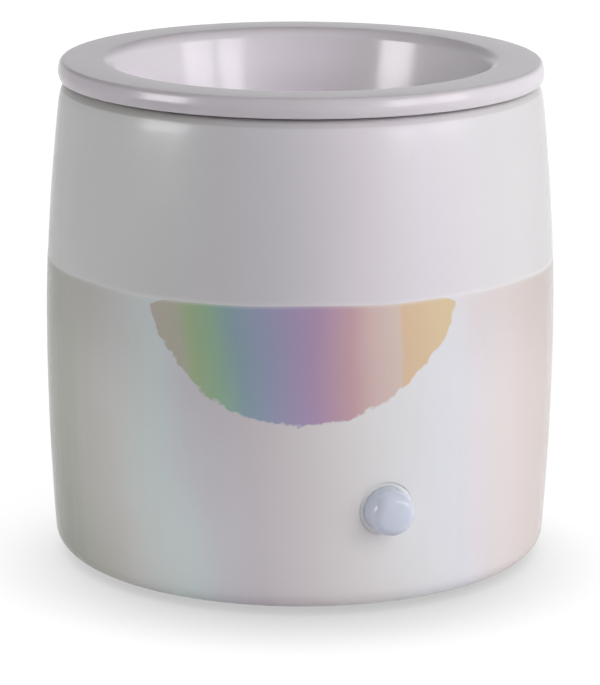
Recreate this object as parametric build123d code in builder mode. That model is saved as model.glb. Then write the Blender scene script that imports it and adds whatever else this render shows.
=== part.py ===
from build123d import *
import math
import os

# Wax melt warmer: a barrel-shaped ceramic body with a hot plate inside and a lift-off dish.
# Millimetres. +Z is up, Z = 0 is the table, the front faces -Y, the axis of the barrel is Z.

# Ceramic shell
belly_diameter = 125.0
belly_height = 55.0
shoulder_diameter = 117.8
shoulder_drop = 4.5
base_diameter = 121.7
base_height = 6.0
shell_top = 117.0
shell_wall = 5.0
deck_thickness = 6.0
shoulder_ease = 16.0
lip_round = 0.6
lip_chamfer = 1.2
well_chamfer = 2.0
bottom_round = 5.0
foot_ring = 6.8
foot_ledge_width = 4.0
foot_ledge_thickness = 5.0

# Melting dish
rim_overhang = 0.25
rim_diameter = shoulder_diameter + 2 * rim_overhang
rim_thickness = 4.7
rim_lean = 0.7
rim_undercut = 0.6
rim_undercut_height = 2.0
rim_round = 1.2
rim_side_round = 3.5
rim_foot_round = 0.5
seam_gap = 0.5
mouth_inset = 12.9
mouth_diameter = shoulder_diameter - 2 * mouth_inset
mouth_round = 3.0
bowl_depth = 24.0
bowl_wall = 4.5
bowl_floor = 4.2
bowl_draft = 11.0
bowl_round = 10.0
dish_foot_round = 10.0
under_rim_chamfer = 1.2
well_clearance = 2.5

# Hot plate and the moulded carrier around it
plate_inset = 9.0
plate_diameter = mouth_diameter - 2 * plate_inset
plate_thickness = 5.0
plate_proud = 0.5
plate_clearance = 0.3
plate_chamfer = 0.6
carrier_flange_thickness = 2.5
carrier_flange_overlap = 7.0
carrier_wall = 1.7
carrier_seat_width = 6.5
carrier_chamfer = 0.8
gasket_thickness = 1.0
gasket_margin = 1.0
deck_clearance = 1.0
clamp_squeeze = 0.5
clamp_thickness = 2.0
clamp_overlap = 6.0

# Heating element, its insulation and its strap
element_thickness = 5.5
element_round = 2.0
mica_thickness = 0.5
mica_margin = 1.5
strap_thickness = 1.0
strap_width = 14.0
strap_boss_diameter = 7.0
strap_boss_gap = 2.5
strap_end_gap = 1.5

# One-shot thermal fuse, lying in a clip against the plate
fuse_diameter = 4.0
fuse_length = 11.0
fuse_lead_diameter = 1.0
fuse_lead_length = 4.0
fuse_gap = 3.55
fuse_clearance = 0.1
clip_sheet = 0.6
clip_width = 5.0
clip_foot_length = 7.0
clip_end_gap = 1.3

# Pressed heat shield
shield_sheet = 0.8
shield_depth = 9.0
shield_clearance = 1.0
shield_flange_margin = 6.0
lead_hole_diameter = 10.0
lead_hole_gap = 1.0
lead_hole_angle = -45.0

# Hexagonal pillars that tie the carrier to the base
pillar_count = 3
pillar_flats = 7.0
pillar_thread_depth = 9.0
stud_reach = 6.8

# Screws
screw_diameter = 3.0
screw_head_diameter = 5.5
screw_head_height = 2.0
screw_clearance = 0.1
screw_bite = 3.5

# Base plate and feet
base_floor = 2.5
base_clearance = 0.3
locating_wall = 2.0
locating_height = 4.5
boss_diameter = 9.0
boss_height = 8.5
screw_well_depth = 4.0
screw_well_clearance = 0.5
vent_count = 12
vent_length = 15.0
vent_width = 3.0
vent_boss_gap = 2.9
foot_count = 4
foot_diameter = 12.0
foot_inset = 2.0
foot_recess = 1.2
foot_proud = 1.0
foot_clearance = 0.2
foot_chamfer = 0.4

# Push button and its guide
button_azimuth = 19.2
button_height = 25.6
button_travel = 1.5
cap_diameter = 10.8
cap_proud = 6.5
cap_crown = 0.8
cap_edge_round = 2.8
cap_wall = 1.2
cap_flange_width = 0.9
cap_flange_thickness = 1.3
cap_boss_diameter = 5.2
cap_socket_depth = 3.8
guide_wall = 0.45
guide_running = 0.15
guide_fit = 0.1
guide_flange_diameter = 12.6
guide_flange_thickness = 1.0
guide_flange_fit = 0.2
guide_recess = 1.2
guide_overhang = 1.0
cap_rest_gap = 0.2

# Control board and what stands on it
shaft_width = 3.2
shaft_fit = 0.05
shaft_running = 0.15
shaft_engagement = 5.0
switch_width = 8.5
switch_length = 9.0
switch_gap = 2.5
switch_bore_spare = 1.0
board_width = 46.0
board_length = 40.0
board_thickness = 1.6
board_lift = 5.5
board_screw_spacing = 36.0
board_screw_rise = 7.0
post_width = 8.0
post_depth = 6.0
post_height = 20.0
led_diameter = 3.0
led_length = 5.0
led_offset = 7.5
led_chamfer = 0.8
relay_width = 15.5
relay_length = 19.0
relay_depth = 15.0
relay_offset = -13.2
relay_height = 37.0
capacitor_diameter = 10.0
capacitor_length = 16.0
capacitor_offset = 13.0
capacitor_height = 36.0
component_round = 0.8
terminal_width = 12.0
terminal_length = 10.0
terminal_depth = 9.0
terminal_pitch = 5.0
terminal_screw_diameter = 3.2
terminal_screw_depth = 2.0
terminal_lift = 2.0

# Insulated leads from the board to the fuse and the heating element
lead_diameter = 1.6
lead_bend = 2.0
lead_spread = 2.0
lead_rise = 27.0
lead_element_y = -8.0
lead_element_reach = 4.5

# Rubber gland for the supply cord, at the rear
gland_height = 18.0
gland_hole_diameter = 10.0
gland_bore_diameter = 7.0
gland_flange_diameter = 14.0
gland_inner_flange_diameter = 13.0
gland_flange_thickness = 2.0
gland_fit = 0.15
gland_seat_gap = 0.05

# Radii
belly_r = belly_diameter / 2
rim_r = rim_diameter / 2
mouth_r = mouth_diameter / 2
plate_r = plate_diameter / 2
screw_r = screw_diameter / 2
screw_hole_r = screw_r + screw_clearance / 2
screw_pass_r = screw_r + screw_clearance * 2
screw_head_r = screw_head_diameter / 2
fuse_r = fuse_diameter / 2
cap_r = cap_diameter / 2

# The barrel is two arcs that share an upright tangent at the belly.
# An arc is negative where its end is wider than the belly.
shoulder_height = shell_top - shoulder_drop
upper_rise = shoulder_height - belly_height
upper_inset = belly_r - shoulder_diameter / 2
upper_arc = (upper_rise**2 + upper_inset**2) / (2 * upper_inset)
lower_rise = belly_height - base_height
lower_inset = belly_r - base_diameter / 2
lower_arc = (lower_rise**2 + lower_inset**2) / (2 * lower_inset)


def barrel_r(z):
    """Outer radius of the shell at height z."""
    arc = upper_arc if z > belly_height else lower_arc
    return belly_r - arc + math.copysign(math.sqrt(arc**2 - (z - belly_height) ** 2), arc)


def arc_degrees(z, arc):
    """Angle from the belly to height z along an arc of the barrel, with the arc's sign."""
    return math.degrees(math.asin(abs(z - belly_height) / arc))


# Above the shoulder the wall leans in on a tighter arc, up to the lip
shoulder_lean = arc_degrees(shoulder_height, upper_arc)
ease_rise = shoulder_drop / shoulder_ease
lip_lean = math.degrees(math.asin(math.sin(math.radians(shoulder_lean)) + ease_rise))

# Heights, from the lip of the shell down through the heater to the table
rim_under = shell_top + seam_gap
rim_top = rim_under + rim_thickness
bowl_floor_z = rim_top - bowl_depth
plate_top = bowl_floor_z - bowl_floor
plate_under = plate_top - plate_thickness
carrier_top = plate_top - plate_proud
carrier_flange_z = carrier_top - carrier_flange_thickness
deck_top = carrier_flange_z - gasket_thickness
deck_under = deck_top - deck_thickness
carrier_under = deck_under + clamp_squeeze
clamp_under = deck_under - clamp_thickness
shield_under = clamp_under - shield_sheet
shield_floor_z = shield_under - shield_depth
element_under = plate_under - element_thickness
mica_under = element_under - mica_thickness
strap_under = mica_under - strap_thickness
foot_z = foot_proud
rebate_z = foot_z + base_floor
ledge_top = rebate_z + foot_ledge_thickness
boss_top = rebate_z + boss_height

# Radii of the pieces that fit inside each other
rim_side_z = rim_under + rim_undercut_height
rim_edge_r = rim_r - rim_lean
rim_foot_r = rim_r - rim_undercut
draft_slope = math.tan(math.radians(bowl_draft))
bowl_floor_r = mouth_r - bowl_depth * draft_slope
skirt_top_r = mouth_r + bowl_wall - rim_thickness * draft_slope
skirt_foot_r = mouth_r + bowl_wall - (rim_top - plate_top) * draft_slope
well_r = mouth_r + bowl_wall + well_clearance
pocket_r = plate_r + plate_clearance
carrier_barrel_r = pocket_r + carrier_wall
deck_hole_r = carrier_barrel_r + deck_clearance
carrier_flange_r = deck_hole_r + carrier_flange_overlap
carrier_seat_r = pocket_r - carrier_seat_width
clamp_r = deck_hole_r + clamp_overlap
pillar_circle_r = (carrier_seat_r + carrier_barrel_r) / 2
plate_screw_circle_r = (carrier_seat_r + plate_r) / 2
pan_r = carrier_seat_r - shield_clearance
pan_inner_r = pan_r - shield_sheet
shield_flange_r = pillar_circle_r + shield_flange_margin
vent_circle_r = pillar_circle_r - boss_diameter / 2 - vent_boss_gap - vent_length / 2
rebate_r = base_diameter / 2 - foot_ring
base_opening_r = rebate_r - foot_ledge_width
base_r = rebate_r - base_clearance
locating_r = base_opening_r - base_clearance
foot_circle_r = base_r - foot_inset - foot_diameter / 2

# The button looks out along this direction, and its frame has X sideways and Y up
outward = Vector(0, -1, 0).rotate(Axis.Z, button_azimuth)
sideways = Vector(1, 0, 0).rotate(Axis.Z, button_azimuth)
button_plane = Plane((0, 0, button_height), x_dir=sideways, z_dir=outward)
button_section = Plane((0, 0, button_height), x_dir=sideways, z_dir=(0, 0, -1))
button_axis = Axis((0, 0, button_height), outward)
button_angle = button_azimuth - 90
pillar_start = button_angle + 180 / pillar_count
foot_start = pillar_start + 180 / foot_count

# Distances from the barrel's axis, along the button's direction
shell_face = barrel_r(button_height)
guide_seat = shell_face - guide_recess
guide_end = shell_face - shell_wall - guide_overhang
cap_apex = shell_face + cap_proud
cap_shoulder = guide_end - cap_rest_gap
cap_back = cap_shoulder - cap_flange_thickness
cap_roof = cap_apex - cap_crown - cap_wall
shaft_tip = cap_back + cap_socket_depth
switch_face = cap_back - button_travel - switch_gap
board_front = switch_face - switch_length
board_back = board_front - board_thickness

# Radii of the button's pieces
guide_bore_r = cap_r + guide_running
guide_sleeve_r = guide_bore_r + guide_wall
button_hole_r = guide_sleeve_r + guide_fit
guide_flange_r = guide_flange_diameter / 2
cap_flange_r = cap_r + cap_flange_width
cap_hollow_r = cap_r - cap_wall

# Board heights, seen from the button's own frame
board_bottom = rebate_z + board_lift
board_y = board_bottom + board_length / 2 - button_height
board_screw_y = board_bottom + board_screw_rise - button_height
terminal_top = board_bottom + terminal_lift + terminal_length
terminal_y = terminal_top - terminal_length / 2 - button_height
terminal_middle = board_back - terminal_depth / 2

gland_plane = Plane((0, 0, gland_height), x_dir=(-1, 0, 0), z_dir=(0, 1, 0))
gland_hole_r = gland_hole_diameter / 2
gland_flange_r = gland_flange_diameter / 2
gland_inner_flange_r = gland_inner_flange_diameter / 2
gland_outer_ends = [barrel_r(gland_height + side * gland_flange_r) for side in (-1, 1)]
gland_inner_ends = [barrel_r(gland_height + side * gland_inner_flange_r) for side in (-1, 1)]
gland_outer_seat = max(gland_outer_ends) + gland_seat_gap
gland_wall_r = min(gland_inner_ends) - shell_wall
gland_inner_seat = math.sqrt(gland_wall_r**2 - gland_inner_flange_r**2) - gland_seat_gap

os.makedirs("parts", exist_ok=True)


def save(builder, label):
    """Label a finished piece and write its STEP file."""
    builder.part.label = label
    export_step(builder.part, f"parts/{label}.step")


def corner(sketch, x, y):
    """The vertex of a sketch that lies nearest to a point."""
    return sketch.vertices().sort_by_distance((x, y))[0]


# Body shell: one turned section with the deck, the dish well and the rebated foot
with BuildPart() as body_shell:
    with BuildSketch(Plane.XZ) as shell_section:
        with BuildLine():
            upper = JernArc((belly_r, belly_height), (0, 1), abs(upper_arc), shoulder_lean)
            ease = JernArc(upper @ 1, upper % 1, shoulder_ease, lip_lean - shoulder_lean)
            lower = JernArc(
                (belly_r, belly_height),
                (0, -1),
                abs(lower_arc),
                -arc_degrees(foot_z, lower_arc),
            )
            inner_upper = JernArc(
                (belly_r - shell_wall, belly_height),
                (0, 1),
                abs(upper_arc - shell_wall),
                arc_degrees(deck_under, upper_arc - shell_wall),
            )
            inner_lower = JernArc(
                (belly_r - shell_wall, belly_height),
                (0, -1),
                abs(lower_arc - shell_wall),
                -arc_degrees(ledge_top, lower_arc - shell_wall),
            )
            Polyline(
                ease @ 1,
                (well_r, shell_top),
                (well_r, deck_top),
                (deck_hole_r, deck_top),
                (deck_hole_r, deck_under),
                inner_upper @ 1,
            )
            Polyline(
                inner_lower @ 1,
                (base_opening_r, ledge_top),
                (base_opening_r, rebate_z),
                (rebate_r, rebate_z),
                (rebate_r, foot_z),
                lower @ 1,
            )
        make_face()
        fillet(corner(shell_section, barrel_r(foot_z), foot_z), bottom_round)
        fillet(corner(shell_section, (ease @ 1).X, shell_top), lip_round)
        chamfer(corner(shell_section, well_r, shell_top), lip_chamfer)
        chamfer(corner(shell_section, well_r, deck_top), well_chamfer)
    revolve(axis=Axis.Z)
    with BuildSketch(button_plane.offset(cap_back)):
        Circle(button_hole_r)
    extrude(amount=cap_apex - cap_back, mode=Mode.SUBTRACT)
    with BuildSketch(button_plane.offset(guide_seat)):
        Circle(guide_flange_r + guide_flange_fit)
    extrude(amount=cap_apex - guide_seat, mode=Mode.SUBTRACT)
    with BuildSketch(gland_plane.offset(gland_inner_seat)):
        Circle(gland_hole_r)
    extrude(amount=gland_outer_seat - gland_inner_seat, mode=Mode.SUBTRACT)
save(body_shell, "body_shell")

# Wax dish: drafted bowl, wide flat rim with a leaning, undercut side, flat foot on the hot plate
with BuildPart() as wax_dish:
    with BuildSketch(Plane.XZ) as dish_section:
        with BuildLine():
            Polyline(
                (0, bowl_floor_z),
                (bowl_floor_r, bowl_floor_z),
                (mouth_r, rim_top),
                (rim_edge_r, rim_top),
                (rim_r, rim_side_z),
                (rim_foot_r, rim_under),
                (skirt_top_r, rim_under),
                (skirt_foot_r, plate_top),
                (0, plate_top),
                close=True,
            )
        make_face()
        fillet(corner(dish_section, bowl_floor_r, bowl_floor_z), bowl_round)
        fillet(corner(dish_section, mouth_r, rim_top), mouth_round)
        fillet(corner(dish_section, rim_edge_r, rim_top), rim_round)
        fillet(corner(dish_section, rim_r, rim_side_z), rim_side_round)
        fillet(corner(dish_section, rim_foot_r, rim_under), rim_foot_round)
        chamfer(corner(dish_section, skirt_top_r, rim_under), under_rim_chamfer)
        fillet(corner(dish_section, skirt_foot_r, plate_top), dish_foot_round)
    revolve(axis=Axis.Z)
save(wax_dish, "wax_dish")

# Under the plate, the strap and the fuse clip fill the shield's pan and the element lies between
plate_screw_start = pillar_start + 180 / pillar_count
strap_boss_x = pan_inner_r - strap_end_gap - strap_boss_diameter / 2
element_length = 2 * (strap_boss_x - strap_boss_diameter / 2 - strap_boss_gap)
clip_reach = fuse_r + fuse_clearance + clip_sheet
clip_screw_y = clip_end_gap + clip_foot_length / 2 - pan_inner_r
fuse_y = clip_screw_y + clip_foot_length / 2 + clip_reach
element_width = 2 * (-fuse_y - clip_reach - mica_margin / 2 - fuse_gap)
lead_hole_r = pan_inner_r - lead_hole_gap - lead_hole_diameter / 2
lead_hole_x = lead_hole_r * math.cos(math.radians(lead_hole_angle))
lead_hole_y = lead_hole_r * math.sin(math.radians(lead_hole_angle))

# Hot plate: turned aluminium disc with two bosses for the strap
with BuildPart() as hot_plate:
    with BuildSketch(Plane.XY.offset(plate_under)):
        Circle(plate_r)
    extrude(amount=plate_thickness)
    chamfer(hot_plate.faces().sort_by(Axis.Z)[-1].edges(), plate_chamfer)
    with BuildSketch(Plane.XY.offset(mica_under)):
        with Locations((-strap_boss_x, 0), (strap_boss_x, 0)):
            Circle(strap_boss_diameter / 2)
    extrude(amount=element_thickness + mica_thickness)
    with BuildSketch(Plane.XY.offset(mica_under)):
        with Locations((-strap_boss_x, 0), (strap_boss_x, 0)):
            Circle(screw_hole_r)
    extrude(amount=element_thickness, mode=Mode.SUBTRACT)
    with BuildSketch(Plane.XY.offset(plate_under)):
        with PolarLocations(plate_screw_circle_r, pillar_count, plate_screw_start):
            Circle(screw_hole_r)
        with Locations((0, clip_screw_y)):
            Circle(screw_hole_r)
    extrude(amount=screw_bite, mode=Mode.SUBTRACT)
save(hot_plate, "hot_plate")

# Heater carrier: moulded ring that hangs in the deck and holds the plate by its edge
plate_screw_seat = plate_under - (plate_under - carrier_under) / 2
with BuildPart() as heater_carrier:
    with BuildSketch(Plane.XZ) as carrier_section:
        with BuildLine():
            Polyline(
                (carrier_seat_r, carrier_under),
                (carrier_barrel_r, carrier_under),
                (carrier_barrel_r, carrier_flange_z),
                (carrier_flange_r, carrier_flange_z),
                (carrier_flange_r, carrier_top),
                (pocket_r, carrier_top),
                (pocket_r, plate_under),
                (carrier_seat_r, plate_under),
                close=True,
            )
        make_face()
        chamfer(corner(carrier_section, carrier_flange_r, carrier_top), carrier_chamfer)
    revolve(axis=Axis.Z)
    with BuildSketch(Plane.XY.offset(carrier_under)):
        with PolarLocations(pillar_circle_r, pillar_count, pillar_start):
            Circle(screw_hole_r)
    extrude(amount=shield_under + stud_reach + screw_clearance - carrier_under, mode=Mode.SUBTRACT)
    with BuildSketch(Plane.XY.offset(carrier_under)):
        with PolarLocations(plate_screw_circle_r, pillar_count, plate_screw_start):
            Circle(screw_head_r + screw_clearance)
    extrude(amount=plate_screw_seat - carrier_under, mode=Mode.SUBTRACT)
    with BuildSketch(Plane.XY.offset(plate_screw_seat)):
        with PolarLocations(plate_screw_circle_r, pillar_count, plate_screw_start):
            Circle(screw_pass_r)
    extrude(amount=plate_under - plate_screw_seat, mode=Mode.SUBTRACT)
save(heater_carrier, "heater_carrier")


def screw_group(seat, reach, points):
    """Hexagon screws: heads behind the seat plane, plain shanks that reach forward from it."""
    with BuildPart() as group:
        with BuildSketch(seat):
            with Locations(*points):
                RegularPolygon(screw_head_r, 6)
        extrude(amount=-screw_head_height)
        with BuildSketch(seat):
            with Locations(*points):
                Circle(screw_r)
        extrude(amount=reach)
    return group


def ring_points(radius, count, start):
    """Points spread evenly on a circle about the barrel's axis, from a start angle in degrees."""
    angles = [math.radians(start + 360 * i / count) for i in range(count)]
    return [(radius * math.cos(a), radius * math.sin(a)) for a in angles]


# Plate screws: from below, through the carrier's seat into the plate
plate_screws = screw_group(
    Plane.XY.offset(plate_screw_seat),
    plate_under - plate_screw_seat + screw_bite - screw_clearance,
    ring_points(plate_screw_circle_r, pillar_count, plate_screw_start),
)
save(plate_screws, "plate_screws")

# Deck gasket: soft ring under the carrier's flange
with BuildPart() as deck_gasket:
    with BuildSketch(Plane.XY.offset(deck_top)):
        Circle(carrier_flange_r - gasket_margin)
        Circle(deck_hole_r + gasket_margin, mode=Mode.SUBTRACT)
    extrude(amount=gasket_thickness)
save(deck_gasket, "deck_gasket")

# Clamp ring: steel ring that the pillars pull up against the underside of the deck
with BuildPart() as clamp_ring:
    with BuildSketch(Plane.XY.offset(clamp_under)):
        Circle(clamp_r)
        Circle(carrier_seat_r, mode=Mode.SUBTRACT)
        with PolarLocations(pillar_circle_r, pillar_count, pillar_start):
            Circle(screw_pass_r, mode=Mode.SUBTRACT)
    extrude(amount=clamp_thickness)
save(clamp_ring, "clamp_ring")

# Heat shield: pressed pan under the heater, its flange held between clamp ring and pillars
with BuildPart() as heat_shield:
    with BuildSketch(Plane.XZ):
        with BuildLine():
            Polyline(
                (0, shield_floor_z),
                (pan_r, shield_floor_z),
                (pan_r, shield_under),
                (shield_flange_r, shield_under),
                (shield_flange_r, clamp_under),
                (pan_inner_r, clamp_under),
                (pan_inner_r, shield_floor_z + shield_sheet),
                (0, shield_floor_z + shield_sheet),
                close=True,
            )
        make_face()
    revolve(axis=Axis.Z)
    with BuildSketch(Plane.XY.offset(shield_under)):
        with PolarLocations(pillar_circle_r, pillar_count, pillar_start):
            Circle(screw_pass_r)
    extrude(amount=shield_sheet, mode=Mode.SUBTRACT)
    with BuildSketch(Plane.XY.offset(shield_floor_z)):
        with Locations((lead_hole_x, lead_hole_y)):
            Circle(lead_hole_diameter / 2)
    extrude(amount=shield_sheet, mode=Mode.SUBTRACT)
save(heat_shield, "heat_shield")

# Heating element: flat finned block pressed to the underside of the plate
with BuildPart() as ptc_heater:
    with BuildSketch(Plane.XY.offset(element_under)):
        RectangleRounded(element_length, element_width, element_round)
    extrude(amount=element_thickness)
save(ptc_heater, "ptc_heater")

# Mica sheet: insulates the strap from the element
with BuildPart() as mica_sheet:
    with BuildSketch(Plane.XY.offset(mica_under)):
        Rectangle(element_length + mica_margin, element_width + mica_margin)
    extrude(amount=mica_thickness)
save(mica_sheet, "mica_sheet")

# Heater strap: sprung steel strip across both bosses
with BuildPart() as heater_strap:
    with BuildSketch(Plane.XY.offset(strap_under)):
        SlotCenterToCenter(2 * strap_boss_x - strap_width / 2, strap_width)
        with Locations((-strap_boss_x, 0), (strap_boss_x, 0)):
            Circle(screw_pass_r, mode=Mode.SUBTRACT)
    extrude(amount=strap_thickness)
save(heater_strap, "heater_strap")

# Strap screws
strap_screws = screw_group(
    Plane.XY.offset(strap_under),
    strap_thickness + element_thickness - screw_clearance,
    [(-strap_boss_x, 0), (strap_boss_x, 0)],
)
save(strap_screws, "strap_screws")

# Thermal fuse: small can with a lead at each end, lying along X
fuse_z = plate_under - fuse_r - fuse_clearance
fuse_end_x = fuse_length / 2 + fuse_lead_length
with BuildPart() as thermal_fuse:
    with BuildSketch(Plane.YZ.offset(-fuse_length / 2)):
        with Locations((fuse_y, fuse_z)):
            Circle(fuse_r)
    extrude(amount=fuse_length)
    with BuildSketch(Plane.YZ.offset(-fuse_end_x)):
        with Locations((fuse_y, fuse_z)):
            Circle(fuse_lead_diameter / 2)
    extrude(amount=2 * fuse_end_x)
save(thermal_fuse, "thermal_fuse")

# Fuse clip: sheet strip that goes round under the fuse, with a foot on the plate
clip_bore_r = fuse_r + fuse_clearance
clip_foot_y = clip_screw_y - clip_foot_length / 2
with BuildPart() as fuse_clip:
    with BuildSketch(Plane.YZ.offset(-clip_width / 2)):
        with Locations((fuse_y, fuse_z)):
            Circle(clip_reach)
        with BuildLine():
            Polyline(
                (fuse_y - clip_reach, fuse_z),
                (fuse_y + clip_reach, fuse_z),
                (fuse_y + clip_reach, plate_under),
                (clip_foot_y, plate_under),
                (clip_foot_y, plate_under - clip_sheet),
                (fuse_y - clip_reach, plate_under - clip_sheet),
                close=True,
            )
        make_face()
        with Locations((fuse_y, fuse_z)):
            Circle(clip_bore_r, mode=Mode.SUBTRACT)
        with Locations((fuse_y, plate_under)):
            Rectangle(2 * clip_bore_r, 2 * (plate_under - fuse_z), mode=Mode.SUBTRACT)
    extrude(amount=clip_width)
    with BuildSketch(Plane.XY.offset(plate_under - clip_sheet)):
        with Locations((0, clip_screw_y)):
            Circle(screw_pass_r)
    extrude(amount=clip_sheet, mode=Mode.SUBTRACT)
save(fuse_clip, "fuse_clip")

# Fuse screw
fuse_screw = screw_group(
    Plane.XY.offset(plate_under - clip_sheet),
    clip_sheet + screw_bite - screw_clearance,
    [(0, clip_screw_y)],
)
save(fuse_screw, "fuse_screw")

# Tie pillars: hexagonal posts with a stud on top and a threaded hole below
with BuildPart() as tie_pillars:
    with BuildSketch(Plane.XY.offset(boss_top)):
        with PolarLocations(pillar_circle_r, pillar_count, pillar_start):
            RegularPolygon(pillar_flats / 2, 6, major_radius=False)
    extrude(amount=shield_under - boss_top)
    with BuildSketch(Plane.XY.offset(shield_under)):
        with PolarLocations(pillar_circle_r, pillar_count, pillar_start):
            Circle(screw_r)
    extrude(amount=stud_reach)
    with BuildSketch(Plane.XY.offset(boss_top)):
        with PolarLocations(pillar_circle_r, pillar_count, pillar_start):
            Circle(screw_hole_r)
    extrude(amount=pillar_thread_depth, mode=Mode.SUBTRACT)
save(tie_pillars, "tie_pillars")

# Base plate: moulded cover in the foot's rebate, with a locating wall, bosses, posts and vents
base_frame = Plane((0, 0, rebate_z), x_dir=sideways, z_dir=(0, 0, 1))
screw_seat_z = foot_z + screw_well_depth
post_middle = board_back - post_depth / 2
board_screw_x = board_screw_spacing / 2
rib_length = locating_r - locating_wall / 2 - pillar_circle_r
with BuildPart() as base_plate:
    with BuildSketch(Plane.XY.offset(foot_z)):
        Circle(base_r)
    extrude(amount=base_floor)
    with BuildSketch(Plane.XY.offset(rebate_z)):
        Circle(locating_r)
        Circle(locating_r - locating_wall, mode=Mode.SUBTRACT)
        with PolarLocations(pillar_circle_r + rib_length / 2, pillar_count, pillar_start):
            Rectangle(rib_length, locating_wall)
    extrude(amount=locating_height)
    with BuildSketch(Plane.XY.offset(rebate_z)):
        with PolarLocations(pillar_circle_r, pillar_count, pillar_start):
            Circle(boss_diameter / 2)
    extrude(amount=boss_height)
    with BuildSketch(base_frame):
        with Locations((-board_screw_x, -post_middle), (board_screw_x, -post_middle)):
            Rectangle(post_width, post_depth)
    extrude(amount=post_height)
    with BuildSketch(Plane.XY.offset(foot_z)):
        with PolarLocations(pillar_circle_r, pillar_count, pillar_start):
            Circle(screw_head_r + screw_well_clearance)
    extrude(amount=screw_well_depth, mode=Mode.SUBTRACT)
    with BuildSketch(Plane.XY.offset(screw_seat_z)):
        with PolarLocations(pillar_circle_r, pillar_count, pillar_start):
            Circle(screw_pass_r)
    extrude(amount=boss_top - screw_seat_z, mode=Mode.SUBTRACT)
    with BuildSketch(Plane.XY.offset(foot_z)):
        with PolarLocations(vent_circle_r, vent_count):
            Rectangle(vent_length, vent_width)
    extrude(amount=base_floor, mode=Mode.SUBTRACT)
    with BuildSketch(Plane.XY.offset(foot_z)):
        with PolarLocations(foot_circle_r, foot_count, foot_start):
            Circle(foot_diameter / 2 + foot_clearance)
    extrude(amount=foot_recess, mode=Mode.SUBTRACT)
    with BuildSketch(button_plane.offset(board_back)):
        with Locations((-board_screw_x, board_screw_y), (board_screw_x, board_screw_y)):
            Circle(screw_hole_r)
    extrude(amount=-post_depth, mode=Mode.SUBTRACT)
save(base_plate, "base_plate")

# Base screws: up through the base plate's bosses into the pillars
base_screws = screw_group(
    Plane.XY.offset(screw_seat_z),
    boss_top - screw_seat_z + pillar_thread_depth - screw_clearance,
    ring_points(pillar_circle_r, pillar_count, pillar_start),
)
save(base_screws, "base_screws")

# Rubber feet: discs pressed into the base plate's recesses
with BuildPart() as rubber_feet:
    with BuildSketch(Plane.XY):
        with PolarLocations(foot_circle_r, foot_count, foot_start):
            Circle(foot_diameter / 2)
    extrude(amount=foot_proud + foot_recess)
    chamfer(rubber_feet.edges().group_by(Axis.Z)[0], foot_chamfer)
save(rubber_feet, "rubber_feet")

# Control board: upright behind the button, screwed to the base plate's posts
with BuildPart() as control_board:
    with BuildSketch(button_plane.offset(board_back)):
        with Locations((0, board_y)):
            Rectangle(board_width, board_length)
        with Locations((-board_screw_x, board_screw_y), (board_screw_x, board_screw_y)):
            Circle(screw_pass_r, mode=Mode.SUBTRACT)
    extrude(amount=board_thickness)
save(control_board, "control_board")

# Board screws: heads on the button's side of the board
board_screws = screw_group(
    Plane(button_plane.offset(board_front).origin, x_dir=-sideways, z_dir=-outward),
    board_thickness + screw_bite,
    [(-board_screw_x, board_screw_y), (board_screw_x, board_screw_y)],
)
save(board_screws, "board_screws")

# Push switch: square housing on the board, with a square bore for its shaft
shaft_end = switch_face - shaft_engagement
with BuildPart() as push_switch:
    with BuildSketch(button_plane.offset(board_front)):
        RectangleRounded(switch_width, switch_width, component_round)
    extrude(amount=switch_length)
    with BuildSketch(button_plane.offset(shaft_end - button_travel - switch_bore_spare)):
        Rectangle(shaft_width + 2 * shaft_running, shaft_width + 2 * shaft_running)
    extrude(amount=switch_length, mode=Mode.SUBTRACT)
save(push_switch, "push_switch")

# Switch shaft: square plunger that carries the button cap
with BuildPart() as switch_shaft:
    with BuildSketch(button_plane.offset(shaft_end)):
        Rectangle(shaft_width, shaft_width)
    extrude(amount=shaft_tip - shaft_end)
save(switch_shaft, "switch_shaft")

# Status lamp beside the switch, behind the frosted cap
with BuildPart() as status_led:
    with BuildSketch(button_plane.offset(board_front)):
        with Locations((led_offset, 0)):
            Circle(led_diameter / 2)
    extrude(amount=led_length)
    chamfer(status_led.faces().sort_by(button_axis)[-1].edges(), led_chamfer)
save(status_led, "status_led")

# Relay and capacitor on the back of the board
with BuildPart() as power_relay:
    with BuildSketch(button_plane.offset(board_back)):
        with Locations((relay_offset, relay_height - button_height)):
            RectangleRounded(relay_width, relay_length, component_round)
    extrude(amount=-relay_depth)
save(power_relay, "power_relay")

with BuildPart() as dropper_capacitor:
    with BuildSketch(button_plane.offset(board_back)):
        with Locations((capacitor_offset, capacitor_height - button_height)):
            Circle(capacitor_diameter / 2)
    extrude(amount=-capacitor_length)
    chamfer(dropper_capacitor.faces().sort_by(button_axis)[0].edges(), component_round)
save(dropper_capacitor, "dropper_capacitor")

# Terminal block low on the back of the board, with two clamp screws' wells
with BuildPart() as terminal_block:
    with BuildSketch(button_plane.offset(board_back)):
        with Locations((0, terminal_y)):
            Rectangle(terminal_width, terminal_length)
    extrude(amount=-terminal_depth)
    with BuildSketch(button_plane.offset(board_back - terminal_depth)):
        with Locations((-terminal_pitch / 2, terminal_y), (terminal_pitch / 2, terminal_y)):
            Circle(terminal_screw_diameter / 2)
    extrude(amount=terminal_screw_depth, mode=Mode.SUBTRACT)
save(terminal_block, "terminal_block")


def terminal_point(side, height):
    """A point above one terminal: side is -1 or 1."""
    place = outward * terminal_middle + sideways * (side * terminal_pitch / 2)
    return (place.X, place.Y, height)


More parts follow.
